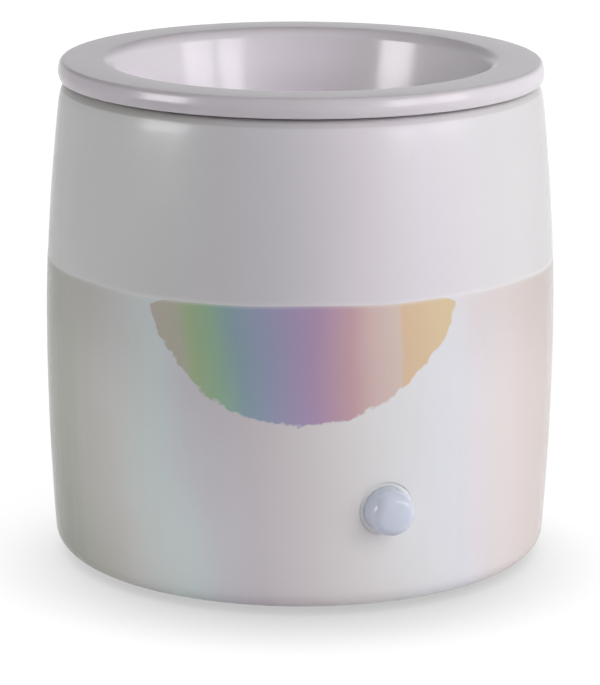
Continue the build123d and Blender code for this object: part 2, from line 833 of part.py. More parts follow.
# Heater leads: up from the terminals, through the shield, to the fuse and the element
element_middle = element_under + element_thickness / 2
bend_height = terminal_top + lead_rise
below_shield = shield_floor_z - lead_hole_diameter
fuse_turn_x = fuse_end_x + lead_element_reach
element_turn_x = element_length / 2 + lead_element_reach
element_lead_x = lead_hole_x + lead_spread
element_lead_y = lead_hole_y + lead_spread
fuse_lead = [
    terminal_point(-1, terminal_top),
    terminal_point(-1, bend_height),
    (fuse_turn_x, fuse_y, below_shield),
    (fuse_turn_x, fuse_y, fuse_z),
    (fuse_end_x, fuse_y, fuse_z),
]
element_lead = [
    terminal_point(1, terminal_top),
    terminal_point(1, bend_height),
    (element_lead_x, element_lead_y, below_shield),
    (element_lead_x, element_lead_y, shield_floor_z + shield_sheet),
    (element_turn_x, lead_element_y, strap_under),
    (element_turn_x, lead_element_y, element_middle),
    (element_length / 2, lead_element_y, element_middle),
]
link_lead = [
    (-fuse_end_x, fuse_y, fuse_z),
    (-element_turn_x, fuse_y, fuse_z),
    (-element_turn_x, lead_element_y, element_middle),
    (-element_length / 2, lead_element_y, element_middle),
]
with BuildPart() as heater_leads:
    for route in (fuse_lead, element_lead, link_lead):
        with BuildLine() as lead_path:
            FilletPolyline(*route, radius=lead_bend)
        with BuildSketch(Plane(lead_path.line @ 0, z_dir=lead_path.line % 0)):
            RegularPolygon(lead_diameter / 2, 6)
        sweep(path=lead_path.line)
save(heater_leads, "heater_leads")

# Button guide: thin sleeve through the wall, with the ring that shows around the button
with BuildPart() as button_guide:
    with BuildSketch(button_plane.offset(guide_end)):
        Circle(guide_sleeve_r)
        Circle(guide_bore_r, mode=Mode.SUBTRACT)
    extrude(amount=guide_seat - guide_end)
    with BuildSketch(button_plane.offset(guide_seat)):
        Circle(guide_flange_r)
        Circle(guide_bore_r, mode=Mode.SUBTRACT)
    extrude(amount=guide_flange_thickness)
save(button_guide, "button_guide")

# Button cap: domed cup with a catch flange behind the guide and a socket for the shaft
cap_dome_arc = (cap_r**2 + cap_crown**2) / (2 * cap_crown)
cap_dome_degrees = math.degrees(math.asin(cap_r / cap_dome_arc))
with BuildPart() as button_cap:
    with BuildSketch(button_section) as cap_section:
        with BuildLine():
            dome = JernArc((0, cap_apex), (1, 0), cap_dome_arc, -cap_dome_degrees)
            Polyline(
                dome @ 1,
                (cap_r, cap_shoulder),
                (cap_flange_r, cap_shoulder),
                (cap_flange_r, cap_back),
                (cap_hollow_r, cap_back),
                (cap_hollow_r, cap_roof),
                (cap_boss_diameter / 2, cap_roof),
                (cap_boss_diameter / 2, cap_back),
                (0, cap_back),
                (0, cap_apex),
            )
        make_face()
        fillet(corner(cap_section, cap_r, cap_apex - cap_crown), cap_edge_round)
    revolve(axis=button_axis)
    with BuildSketch(button_plane.offset(cap_back)):
        Rectangle(shaft_width + 2 * shaft_fit, shaft_width + 2 * shaft_fit)
    extrude(amount=cap_socket_depth + shaft_fit, mode=Mode.SUBTRACT)
save(button_cap, "button_cap")

# Cord gland: rubber bush with a flange on each side of the wall
with BuildPart() as cord_gland:
    with BuildSketch(gland_plane.offset(gland_inner_seat)):
        Circle(gland_hole_r - gland_fit)
    extrude(amount=gland_outer_seat - gland_inner_seat)
    with BuildSketch(gland_plane.offset(gland_outer_seat)):
        Circle(gland_flange_r)
    extrude(amount=gland_flange_thickness)
    with BuildSketch(gland_plane.offset(gland_inner_seat)):
        Circle(gland_inner_flange_r)
    extrude(amount=-gland_flange_thickness)
    with BuildSketch(gland_plane.offset(gland_inner_seat - gland_flange_thickness)):
        Circle(gland_bore_diameter / 2)
    extrude(
        amount=gland_outer_seat - gland_inner_seat + 2 * gland_flange_thickness,
        mode=Mode.SUBTRACT,
    )
save(cord_gland, "cord_gland")
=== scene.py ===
import math

import bmesh
import bpy
from mathutils import Matrix, Vector


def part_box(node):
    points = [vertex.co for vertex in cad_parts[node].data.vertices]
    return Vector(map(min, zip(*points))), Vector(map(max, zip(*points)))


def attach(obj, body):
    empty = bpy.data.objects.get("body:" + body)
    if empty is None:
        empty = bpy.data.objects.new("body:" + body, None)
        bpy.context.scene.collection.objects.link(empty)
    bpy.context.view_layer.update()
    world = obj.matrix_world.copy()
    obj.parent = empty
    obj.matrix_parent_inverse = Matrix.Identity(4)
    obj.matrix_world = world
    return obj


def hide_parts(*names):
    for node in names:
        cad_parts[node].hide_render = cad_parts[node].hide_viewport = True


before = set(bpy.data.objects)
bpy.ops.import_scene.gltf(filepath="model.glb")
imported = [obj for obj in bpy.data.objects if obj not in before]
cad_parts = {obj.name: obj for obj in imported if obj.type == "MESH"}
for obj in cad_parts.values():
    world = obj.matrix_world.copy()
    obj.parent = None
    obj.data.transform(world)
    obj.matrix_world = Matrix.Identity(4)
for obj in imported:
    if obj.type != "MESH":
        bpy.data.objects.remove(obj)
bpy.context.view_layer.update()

# Wax melt warmer: a lustre-glazed barrel with a lift-off dish, a hot plate and a push button.
# Metres. +Z is up, the table is at Z = 0 and the front faces -Y. Azimuth 0 is the front, +90 is +X.
MM = 0.001

# Outer sizes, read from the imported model
shell_low, shell_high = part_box("body_shell")
dish_low, dish_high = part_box("wax_dish")
BELLY_R = shell_high.x
SHELL_TOP = shell_high.z
FOOT_Z = shell_low.z
RIM_TOP = dish_high.z
DISH_FOOT = dish_low.z
DECK_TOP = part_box("deck_gasket")[0].z
DECK_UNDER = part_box("clamp_ring")[1].z
BASE_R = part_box("base_plate")[1].x
BUTTON_Z = (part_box("button_cap")[0].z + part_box("button_cap")[1].z) / 2
GLAND_Z = (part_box("cord_gland")[0].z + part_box("cord_gland")[1].z) / 2

# Ceramic shell
BELLY_HEIGHT = 55.0 * MM
SHOULDER_R = 58.9 * MM
SHOULDER_DROP = 4.5 * MM
SHOULDER_EASE = 12.3 * MM
FLANK_R = 60.85 * MM
FLANK_HEIGHT = 6.0 * MM
SHELL_WALL = 5.0 * MM
LIP_EDGE_ROUND = 2.0 * MM
BOTTOM_ROUND = 5.0 * MM
LIP_ROUND = 1.2 * MM
WELL_R = 53.0 * MM
WELL_COVE = 2.0 * MM
DECK_HOLE_R = 40.0 * MM
DECK_EDGE_ROUND = 0.8 * MM
INNER_COVE = 3.0 * MM
LEDGE_THICKNESS = 5.0 * MM
LEDGE_WIDTH = 4.0 * MM
LEDGE_ROUND = 0.6 * MM
REBATE_DEPTH = 2.5 * MM
REBATE_GAP = 0.3 * MM
FOOT_EDGE_ROUND = 0.5 * MM

# The line where the lustre glaze ends, with its thin bead
GLAZE_LINE = 74.6 * MM
GLAZE_WOBBLE = 0.45 * MM
GLAZE_STEP = 0.10 * MM
GLAZE_BEAD = 0.07 * MM
GLAZE_EDGE = 0.55 * MM

# Melting dish
SEAM_GAP = 0.5 * MM
MOUTH_R = 46.0 * MM
MOUTH_ROUND = 3.0 * MM
BOWL_DEPTH = 24.0 * MM
BOWL_ROUND = 10.0 * MM
BOWL_WALL = 4.5 * MM
BOWL_DRAFT = math.tan(math.radians(11.0))
RIM_OVERHANG = 0.25 * MM
RIM_R = SHOULDER_R + RIM_OVERHANG
RIM_LEAN = 0.7 * MM
RIM_EDGE_ROUND = 1.2 * MM
RIM_UNDERCUT = 0.6 * MM
RIM_UNDERCUT_HEIGHT = 2.0 * MM
RIM_SIDE_ROUND = 3.5 * MM
RIM_FOOT_ROUND = 0.5 * MM
UNDER_RIM_COVE = 1.2 * MM
DISH_FOOT_ROUND = 10.0 * MM

# Push button, seen along its own axis: distances are measured from the barrel's axis
BUTTON_AZIMUTH = 19.2
BUTTON_HOLE_R = 6.1 * MM
COUNTERBORE_R = 6.5 * MM
COUNTERBORE_DEPTH = 1.2 * MM
CAP_R = 5.4 * MM
CAP_PROUD = 6.5 * MM
CAP_CROWN = 0.8 * MM
CAP_EDGE_ROUND = 2.8 * MM
CAP_WALL = 1.2 * MM
CAP_FLANGE_R = 6.3 * MM
CAP_FLANGE_THICKNESS = 1.3 * MM
CAP_BOSS_R = 2.6 * MM
CAP_SOCKET_R = 2.35 * MM
CAP_SOCKET_DEPTH = 3.85 * MM
CAP_REST_GAP = 0.2 * MM
CAP_ROUND = 0.3 * MM
GUIDE_BORE_R = 5.43 * MM
GUIDE_SLEEVE_R = 6.0 * MM
GUIDE_FLANGE_R = 6.49 * MM
GUIDE_FLANGE_THICKNESS = 1.0 * MM
GUIDE_OVERHANG = 1.0 * MM
RING_ROUND = 0.08 * MM

# Rubber gland at the rear
GLAND_AZIMUTH = 180.0
GLAND_HOLE_R = 5.0 * MM
GLAND_NECK_R = 4.85 * MM
GLAND_BORE_R = 3.5 * MM
GLAND_FLANGE_R = 7.0 * MM
GLAND_INNER_R = 6.5 * MM
GLAND_FLANGE_THICKNESS = 2.0 * MM
GLAND_ROUND = 0.6 * MM
GLAND_SEAT_GAP = 0.05 * MM

# How finely the meshes are cut
TURN_STEPS = 240
SMALL_STEPS = 72
PATCH_STEPS = 5
EASE_STEPS = 5
WALL_STEP = 1.6 * MM
LINE_STEP = 0.3 * MM
LINE_REACH = 2.4 * MM
HOLE_BLOCK = 3.0 * MM
HOLE_EASE = 0.15 * MM
SHARP_ANGLE = math.radians(38)
TINY = 1e-7


# Shapes in the plane of a section, as (radius, height) points


def arc_over(reach, inset):
    """Radius of the arc that comes in by an inset over a reach."""
    return (reach**2 + inset**2) / (2 * inset)


SHOULDER_HEIGHT = SHELL_TOP - SHOULDER_DROP
UPPER_ARC = arc_over(SHOULDER_HEIGHT - BELLY_HEIGHT, BELLY_R - SHOULDER_R)
LOWER_ARC = arc_over(BELLY_HEIGHT - FLANK_HEIGHT, BELLY_R - FLANK_R)


def wall_arc(z):
    """Radius of the barrel's long arc at a height."""
    return UPPER_ARC if z > BELLY_HEIGHT else LOWER_ARC


def barrel_r(z):
    """Outer radius of the shell at a height."""
    arc = wall_arc(z)
    return BELLY_R - arc + math.sqrt(arc**2 - (z - BELLY_HEIGHT) ** 2)


def inner_r(z):
    """Inner radius of the shell at a height."""
    arc = wall_arc(z) - SHELL_WALL
    return BELLY_R - SHELL_WALL - arc + math.sqrt(arc**2 - (z - BELLY_HEIGHT) ** 2)


def arc_points(centre, radius, start, end, steps):
    """Points on a circle from one angle to another, in degrees."""
    angles = [math.radians(start + (end - start) * i / steps) for i in range(steps + 1)]
    return [(centre[0] + radius * math.cos(a), centre[1] + radius * math.sin(a)) for a in angles]


def rounded(corners, steps=8):
    """A path through (radius, height, round) corners, with each corner rounded as asked."""
    path = []
    for i, (r, z, round_r) in enumerate(corners):
        here = Vector((r, z))
        if round_r == 0 or i in (0, len(corners) - 1):
            path.append((r, z))
            continue
        back = (Vector(corners[i - 1][:2]) - here).normalized()
        on = (Vector(corners[i + 1][:2]) - here).normalized()
        half = back.angle(on) / 2
        centre = here + (back + on).normalized() * round_r / math.sin(half)
        first = here + back * round_r / math.tan(half) - centre
        last = here + on * round_r / math.tan(half) - centre
        start = math.degrees(math.atan2(first.y, first.x))
        turn = math.degrees(math.atan2(last.y, last.x)) - start
        turn = (turn + 180) % 360 - 180
        path += arc_points(centre, round_r, start, start + turn, steps)
    return path


def spread(start, end, step):
    """Even values from start up to, but not with, end, about a step apart."""
    count = max(1, round((end - start) / step))
    return [start + (end - start) * i / count for i in range(count)]


def smooth(low, high, value):
    """Eased step from 0 at low to 1 at high."""
    t = min(1.0, max(0.0, (value - low) / (high - low)))
    return t * t * (3 - 2 * t)


# Meshes


def new_object(name, data):
    """An object in the scene from its mesh, lamp or camera data."""
    item = bpy.data.objects.new(name, data)
    bpy.context.scene.collection.objects.link(item)
    return item


def mesh_object(name, vertices, faces, materials, finishes=None):
    """A smooth-shaded object from points and faces, with all faces turned outward."""
    mesh = bpy.data.meshes.new(name)
    mesh.from_pydata(vertices, [], faces)
    for material in materials:
        mesh.materials.append(material)
    if finishes:
        mesh.polygons.foreach_set("material_index", finishes)
    work = bmesh.new()
    work.from_mesh(mesh)
    bmesh.ops.recalc_face_normals(work, faces=work.faces)
    work.to_mesh(mesh)
    work.free()
    mesh.shade_smooth()
    mesh.set_sharp_from_angle(angle=SHARP_ANGLE)
    return new_object(name, mesh)


def turned(profile, closed, steps=TURN_STEPS):
    """Points and faces of a profile turned round the Z axis."""
    vertices, rings, faces = [], [], []
    for radius, height in profile:
        start = len(vertices)
        if radius < TINY:
            vertices.append(Vector((0, 0, height)))
            rings.append([start] * steps)
            continue
        for i in range(steps):
            a = 2 * math.pi * i / steps
            vertices.append(Vector((radius * math.cos(a), radius * math.sin(a), height)))
        rings.append(list(range(start, start + steps)))
    pairs = list(zip(rings, rings[1:]))
    if closed:
        pairs.append((rings[-1], rings[0]))
    for lower, upper in pairs:
        for i in range(steps):
            j = (i + 1) % steps
            faces.append(tuple(dict.fromkeys((lower[i], lower[j], upper[j], upper[i]))))
    return vertices, faces


def facing(azimuth, height):
    """Frame of something set in the wall: X sideways, Y up, Z outward from the barrel's axis."""
    a = math.radians(azimuth)
    sideways = Vector((math.cos(a), math.sin(a), 0))
    outward = Vector((math.sin(a), -math.cos(a), 0))
    matrix = Matrix((sideways, Vector((0, 0, 1)), outward)).transposed().to_4x4()
    matrix.translation = (0, 0, height)
    return matrix


def settle(piece, body, slot, *nodes):
    """Fix a finished piece to its body and hide the nodes that it stands for; the name of its finish is
    not used.
    """
    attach(piece, body)
    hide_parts(*nodes)


# Materials


def srgb(red, green, blue):
    """A colour written as 0 to 255 values, as the linear colour that shaders take."""
    shares = [value / 255 for value in (red, green, blue)]
    return tuple(s / 12.92 if s <= 0.04045 else ((s + 0.055) / 1.055) ** 2.4 for s in shares) + (1.0,)


class Nodes:
    """A node tree that is built by short calls."""

    def __init__(self, tree):
        self.tree = tree

    def add(self, kind, **settings):
        """A new node, with its settings."""
        node = self.tree.nodes.new("ShaderNode" + kind)
        for key, value in settings.items():
            setattr(node, key, value)
        return node

    def join(self, socket, value):
        """Link a socket to another node's output, or set its value."""
        if isinstance(value, bpy.types.NodeSocket):
            self.tree.links.new(value, socket)
        else:
            socket.default_value = value

    def fed(self, node, *values, **named):
        """A node with sockets linked or set: the first ones in order, others by name."""
        for socket, value in zip(node.inputs, values):
            self.join(socket, value)
        for name, value in named.items():
            self.join(node.inputs[name.replace("_", " ")], value)
        return node

    def math(self, operation, *values):
        """One step of arithmetic."""
        return self.fed(self.add("Math", operation=operation), *values).outputs[0]

    def plus(self, first, *others):
        """A sum."""
        for value in others:
            first = self.math("ADD", first, value)
        return first

    def less(self, first, second):
        """A difference."""
        return self.math("SUBTRACT", first, second)

    def times(self, first, *others):
        """A product."""
        for value in others:
            first = self.math("MULTIPLY", first, value)
        return first

    def vectors(self, operation, *values):
        """One step of arithmetic with vectors."""
        node = self.fed(self.add("VectorMath", operation=operation), *values)
        return next(output for output in node.outputs if output.enabled)

    def split(self, vector):
        """The X, Y and Z of a vector."""
        return self.fed(self.add("SeparateXYZ"), vector).outputs

    def remap(self, value, low, high, to_low=0.0, to_high=1.0, smoothed=True):
        """A value moved from one range to another, held at both ends."""
        node = self.add("MapRange", interpolation_type="SMOOTHSTEP" if smoothed else "LINEAR")
        return self.fed(node, value, low, high, to_low, to_high).outputs[0]

    def mix(self, factor, first, second):
        """Two colours mixed by a factor."""
        node = self.add("Mix", data_type="RGBA")
        for index, value in zip((0, 6, 7), (factor, first, second)):
            self.join(node.inputs[index], value)
        return node.outputs[2]


# Where most values of a noise lie, and the samples of softened edges
NOISE_SPAN = (0.3, 0.7)
EDGE_SAMPLES = 6


class Finish(Nodes):
    """A material. Its places, sizes and depths are in millimetres."""

    def __init__(self, name):
        self.material = bpy.data.materials.new(name)
        self.material.use_nodes = True
        super().__init__(self.material.node_tree)
        self.shader = self.tree.nodes["Principled BSDF"]
        self.place = self.vectors("MULTIPLY", self.add("TexCoord").outputs["Object"], (1 / MM,) * 3)

    def stretched(self, x, y, z):
        """The place with each axis scaled, for streaks."""
        return self.vectors("MULTIPLY", self.place, (x, y, z))

    def azimuth(self):
        """Degrees round the barrel, 0 at the front and positive towards +X."""
        x, y, _ = self.split(self.place)
        return self.times(self.math("ARCTAN2", x, self.times(y, -1.0)), 180 / math.pi)

    def radius(self):
        """Distance from the barrel's axis."""
        return self.vectors("LENGTH", self.stretched(1.0, 1.0, 0.0))

    def noise(self, size, detail=2.0, place=None):
        """Cloudy values about 0.5, with features of about a size."""
        place = self.place if place is None else place
        node = self.fed(self.add("TexNoise"), Vector=place, Scale=1 / size, Detail=detail)
        return node.outputs[0]

    def sway(self, amount, size, detail=2.0):
        """Cloudy values about 0, scaled by an amount."""
        return self.times(self.less(self.noise(size, detail), 0.5), amount)

    def between(self, low, high, size, detail=2.0):
        """Cloudy values from low to high."""
        return self.remap(self.noise(size, detail), *NOISE_SPAN, low, high)

    def cells(self, size):
        """A random value for each cell, with cells of about a size."""
        node = self.fed(self.add("TexVoronoi"), Vector=self.place, Scale=1 / size)
        return self.split(node.outputs["Color"])[0]

    def ramp(self, value, stops, ease="LINEAR"):
        """Colours of 0 to 255 values at stops, from the first stop to the last."""
        low = stops[0][0]
        high = stops[-1][0]
        node = self.add("ValToRGB")
        node.color_ramp.interpolation = ease
        elements = node.color_ramp.elements
        while len(elements) < len(stops):
            elements.new(0.5)
        for element, (at, colour) in zip(elements, stops):
            element.position = (at - low) / (high - low)
            element.color = srgb(*colour)
        return self.fed(node, self.remap(value, low, high, smoothed=False)).outputs[0]

    def varied(self, colour, noise, share):
        """A colour made lighter and darker by a noise, by a share each way."""
        low = tuple(c * (1 - share) for c in colour[:3]) + (1.0,)
        high = tuple(min(1.0, c * (1 + share)) for c in colour[:3]) + (1.0,)
        return self.mix(self.remap(noise, *NOISE_SPAN), low, high)

    def soft_edges(self, radius):
        """A normal that rounds sharp edges over a radius."""
        return self.fed(self.add("Bevel", samples=EDGE_SAMPLES), Radius=radius * MM).outputs[0]

    def bump(self, height, depth, normal=None):
        """A normal from heights of 0 to 1 that stand for a depth."""
        node = self.fed(self.add("Bump"), Distance=depth * MM, Height=height)
        if normal is not None:
            self.join(node.inputs["Normal"], normal)
        return node.outputs[0]

    def surface(self, **values):
        """The material, with its shader's inputs set or linked by name."""
        self.fed(self.shader, **values)
        return self.material


# Pearl and pastel colours of the lustre, by name, as 0 to 255 values; some carry painted shade or a
# painted sheen
PEARL = (213, 211, 213)
OLIVE = (191, 192, 184)
LEFT_EDGE_PAINTED_SHADE = (174, 175, 167)
TAN = (211, 209, 206)
MINT = (212, 221, 221)
LAVENDER = (208, 207, 213)
LILAC = (208, 201, 207)
SHELL_PINK = (219, 214, 216)
SILVER_AND_PAINTED_SHEEN = (221, 220, 223)
ICE_AND_PAINTED_SHEEN = (219, 219, 226)
ROSE = (221, 214, 218)
BLUSH = (218, 208, 207)
PEACH = (206, 196, 193)

# Pastel bands by azimuth. They waver, lean as they go down the wall, and have fine streaks. The stops at
# the left edge are painted shade, and the silver and ice stops on the front-right are partly a painted
# sheen.
PASTEL_BANDS = (
    (-180, LILAC),
    (-155, MINT),
    (-130, PEACH),
    (-105, PEARL),
    (-90, LEFT_EDGE_PAINTED_SHADE),
    (-78, LEFT_EDGE_PAINTED_SHADE),
    (-66, OLIVE),
    (-50, TAN),
    (-36, MINT),
    (-27, LAVENDER),
    (-15, LILAC),
    (4, SHELL_PINK),
    (16, SILVER_AND_PAINTED_SHEEN),
    (31, ICE_AND_PAINTED_SHEEN),
    (40, ROSE),
    (52, BLUSH),
    (72, PEACH),
    (95, TAN),
    (118, MINT),
    (142, LAVENDER),
    (162, SHELL_PINK),
    (180, LILAC),
)
BAND_WAVER = 14.0
BAND_WAVER_SIZE = 34
BAND_LEAN = -9.0
BAND_HEIGHT = 70
STREAK_SIZE = 3.0
STREAK_STRETCH = 0.04
STREAK_SPAN = (0.35, 0.65)
STREAK_SHARE = 0.10

# The pearl glaze above the line: a faint lilac tint, with painted shade at both edges and the front-left
# and painted light on the front-right
PEARL_TINT_AND_PAINTED_LIGHT = (
    (-180, PEARL),
    (-100, PEARL),
    (-79, (198, 198, 198)),
    (-64, (213, 213, 213)),
    (-40, (208, 208, 208)),
    (-18, (200, 198, 202)),
    (-5, (202, 199, 206)),
    (12, (215, 208, 215)),
    (28, (218, 213, 221)),
    (55, PEARL),
    (76, (206, 204, 206)),
    (100, PEARL),
    (180, PEARL),
)

# The glaze line: a soft step, with a pale painted highlight along the bead on it
LINE_SOFTNESS = 0.25
BEAD_PAINTED_HIGHLIGHT = srgb(226, 225, 224)
BEAD_ABOVE = 1.2
BEAD_BELOW = -0.9
BEAD_HIGHLIGHT_SHARE = 0.30

# Painted shade: over the lip under the rim's overhang, more so at its left, and under the glaze line
# beside the half-round
LIP_SHADE_TONE = srgb(150, 143, 139)
LIP_LEFT = -45
LIP_SHADE_SHARES = (0.5, 0.25)
LIP_SHADE_FULL = 0.7
UNDER_LINE_SHADE_TONE = srgb(96, 92, 88)
UNDER_LINE_SHADE_SHARE = 0.2
UNDER_LINE_SHADE_REACH = 30.0
UNDER_LINE_SHADE_START = 25
UNDER_LINE_SHADE_END = 48
UNDER_LINE_SHADE_RIGHT = 0.55

# How metallic the pearl is, and what the lustre and then the half-round add
PEARL_METAL = 0.05
LUSTRE_METAL = 0.08
RAINBOW_METAL = 0.1

# The half-round of stronger lustre on the front, left to right by azimuth
RAINBOW = (
    (-36, (194, 184, 176)),
    (-28, (187, 185, 171)),
    (-25, (169, 189, 151)),
    (-20, (154, 186, 160)),
    (-15, (149, 173, 184)),
    (-9, (158, 166, 193)),
    (-3, (171, 159, 194)),
    (2, (179, 153, 186)),
    (6, (188, 156, 179)),
    (11, (195, 160, 167)),
    (16, (205, 180, 178)),
    (21.2, (207, 189, 181)),
    (22.0, (212, 184, 157)),
    (36, (211, 192, 156)),
)
RAINBOW_CENTRE = 0.9
RAINBOW_HALF_WIDTH = 35.2
RAINBOW_DEPTH = 28.5
RAINBOW_CURVE = 1.5
RAINBOW_SKEW = 1.0
RAINBOW_EDGE = 0.965
RAINBOW_SINK = 0.03
RAINBOW_WAVER = 5.0
RAINBOW_WAVER_SIZE = 20
RAINBOW_SLANT = -5.0
RAINBOW_SLANT_SPAN = (-30, 25)

# Its trimmed upper corners and its ragged edge: amount, size and detail of each raggedness
CORNER_START = 0.8
CORNER_TRIM = 2.0
CORNER_DROP = 8.3
RAGGED = ((0.16, 4.5, 1.0), (0.06, 1.3, 1.5))


def half_round(f, turn, down):
    """1 inside the half-round and 0 outside it."""
    skewed = f.plus(turn, f.times(down, RAINBOW_SKEW))
    across = f.math("DIVIDE", f.less(skewed, RAINBOW_CENTRE), RAINBOW_HALF_WIDTH)
    reach = f.plus(f.times(across, across), f.math("POWER", down, RAINBOW_CURVE))
    end = f.times(f.less(f.math("ABSOLUTE", across), CORNER_START), CORNER_TRIM)
    corner = f.math("MAXIMUM", f.less(end, f.times(down, CORNER_DROP)), 0.0)
    ragged = f.plus(reach, corner, *(f.sway(*values) for values in RAGGED))
    return f.remap(ragged, 1.0, RAINBOW_EDGE)


def rainbow_colours(f, turn, down):
    """Colours of the half-round, which waver, and slant at its left."""
    share = f.remap(turn, *RAINBOW_SLANT_SPAN, RAINBOW_SLANT, 0.0, smoothed=False)
    slant = f.times(down, share)
    waver = f.sway(RAINBOW_WAVER, RAINBOW_WAVER_SIZE, 1.0)
    return f.ramp(f.plus(turn, waver, slant), RAINBOW)


def pastel_colours(f, turn, waver, below):
    """Colours of the lustre round the barrel, with painted shade under the glaze line beside the
    half-round.
    """
    lean = f.times(f.remap(below, 0, BAND_HEIGHT, smoothed=False), BAND_LEAN)
    # The bands carry painted shade at the left edge and a partly painted sheen on the front-right
    bands = f.ramp(f.plus(turn, waver, lean), PASTEL_BANDS, "CARDINAL")
    streaks = f.noise(STREAK_SIZE, 3.0, f.stretched(1.0, 1.0, STREAK_STRETCH))
    colour = f.mix(f.remap(streaks, *STREAK_SPAN, 0.0, STREAK_SHARE), bands, srgb(*PEARL))
    # Painted shade under the glaze line at both sides of the half-round, weaker at the right
    left = f.remap(turn, -UNDER_LINE_SHADE_START, -UNDER_LINE_SHADE_END)
    right = f.remap(turn, UNDER_LINE_SHADE_START, UNDER_LINE_SHADE_END, 0.0, UNDER_LINE_SHADE_RIGHT)
    under_line_shade = f.times(f.remap(below, 0, UNDER_LINE_SHADE_REACH, UNDER_LINE_SHADE_SHARE, 0.0), f.plus(left, right))
    return f.mix(under_line_shade, colour, UNDER_LINE_SHADE_TONE)


# Specks, uneven gloss, throwing lines and peel of both glazes
SPECK_TONE = srgb(150, 146, 142)
SPECK_SIZE = 0.5
SPECK_SPAN = (0.62, 0.74)
SPECK_SHARE = 0.05
GLOSS_SIZE = 9
THROWING_SIZE = 2.4
THROWING_STRETCH = 0.02
PEEL_SIZE = 4.5
PEEL_DEPTH = 0.010


def fired(f, colour, rough_low, rough_high, line_depth):
    """Colour, roughness and normal of a glaze, with its small faults."""
    specks = f.remap(f.noise(SPECK_SIZE, 1.0), *SPECK_SPAN, 0.0, SPECK_SHARE)
    rough = f.between(rough_low, rough_high, GLOSS_SIZE, 3.0)
    along = f.stretched(THROWING_STRETCH, THROWING_STRETCH, 1.0)
    thrown = f.bump(f.noise(THROWING_SIZE, 2.0, along), line_depth)
    normal = f.bump(f.noise(PEEL_SIZE), PEEL_DEPTH, thrown)
    return f.mix(specks, colour, SPECK_TONE), rough, normal


def lustre_glaze():
    """Pearl glaze above the glaze line, pastel lustre below it and a rainbow half-round on the front."""
    f = Finish("lustre_glaze")
    turn = f.azimuth()
    waver = f.sway(BAND_WAVER, BAND_WAVER_SIZE)
    line = f.add("Attribute", attribute_name="over_glaze_line").outputs["Fac"]
    below = f.times(line, -1.0)
    down = f.math("MAXIMUM", f.math("DIVIDE", below, RAINBOW_DEPTH), 0.0)
    inside = half_round(f, turn, down)
    under = f.remap(line, LINE_SOFTNESS, -LINE_SOFTNESS)
    lustre = f.mix(inside, pastel_colours(f, turn, waver, below), rainbow_colours(f, turn, down))
    # The pearl's tint by azimuth carries painted shade and painted light
    colour = f.mix(under, f.ramp(f.plus(turn, waver), PEARL_TINT_AND_PAINTED_LIGHT), lustre)
    # A pale band along the bead: a painted highlight
    bead = f.times(f.remap(line, BEAD_ABOVE, 0.0), f.remap(line, BEAD_BELOW, 0.0), BEAD_HIGHLIGHT_SHARE)
    colour = f.mix(bead, colour, BEAD_PAINTED_HIGHLIGHT)
    colour, rough, normal = fired(f, colour, 0.17, 0.23, 0.012)

    # Painted shade over the lip, under the rim's overhang, stronger at the left
    side, _, height = f.split(f.place)
    lip_start = (SHELL_TOP - LIP_EDGE_ROUND) / MM
    lip_end = (SHELL_TOP - LIP_SHADE_FULL * LIP_EDGE_ROUND) / MM
    lip = f.times(f.remap(height, lip_start, lip_end), f.remap(side, LIP_LEFT, 0, *LIP_SHADE_SHARES))
    colour = f.mix(lip, colour, LIP_SHADE_TONE)

    # The half-round is a little more metallic, and thinner than the rest
    patch = f.times(under, inside)
    metal = f.plus(f.times(under, LUSTRE_METAL), f.times(patch, RAINBOW_METAL), PEARL_METAL)
    normal = f.bump(f.less(1.0, patch), RAINBOW_SINK, normal)
    return f.surface(Base_Color=colour, Metallic=metal, Roughness=rough, Normal=normal, IOR=1.12)


def bisque():
    """Bare fired clay of the foot and the inside."""
    f = Finish("bisque")
    grain = f.noise(0.6, 3.0)
    colour = f.varied(srgb(222, 216, 204), f.noise(14, 3.0), 0.05)
    colour = f.mix(f.remap(grain, 0.60, 0.75, 0.0, 0.35), colour, srgb(176, 166, 150))
    return f.surface(Base_Color=colour, Roughness=0.86, Normal=f.bump(grain, 0.05))


# Tints of the rim and the bowl, by millimetres to the right of the middle. The rim's carry painted shade
# at its left and middle and painted light at its right.
RIM_TINTS_AND_PAINTED_LIGHT = (
    (-60, (208, 202, 208)),
    (0, (204, 198, 205)),
    (30, (213, 207, 213)),
    (60, (217, 212, 218)),
)
BOWL_TINTS = (
    (-45, (229, 223, 230)),
    (-18, (231, 225, 232)),
    (5, (237, 228, 237)),
    (22, (228, 224, 227)),
    (45, (222, 221, 221)),
)
TINT_WAVER = 24.0
TINT_WAVER_SIZE = 30
RIM_TINT_END = 47.5
BOWL_TINT_START = 44.0


def dish_glaze():
    """Plain pearl glaze of the dish, a little pinker in the bowl, with painted light and shade across the
    rim.
    """
    f = Finish("dish_glaze")
    bowl = f.remap(f.radius(), RIM_TINT_END, BOWL_TINT_START)
    across = f.plus(f.split(f.place)[0], f.sway(TINT_WAVER, TINT_WAVER_SIZE, 1.0))
    # The rim's tints carry painted shade at its left and middle and painted light at its right
    colour = f.mix(bowl, f.ramp(across, RIM_TINTS_AND_PAINTED_LIGHT), f.ramp(across, BOWL_TINTS))
    colour, rough, normal = fired(f, colour, 0.14, 0.20, 0.008)
    return f.surface(Base_Color=colour, Metallic=0.08, Roughness=rough, Normal=normal, IOR=1.16)


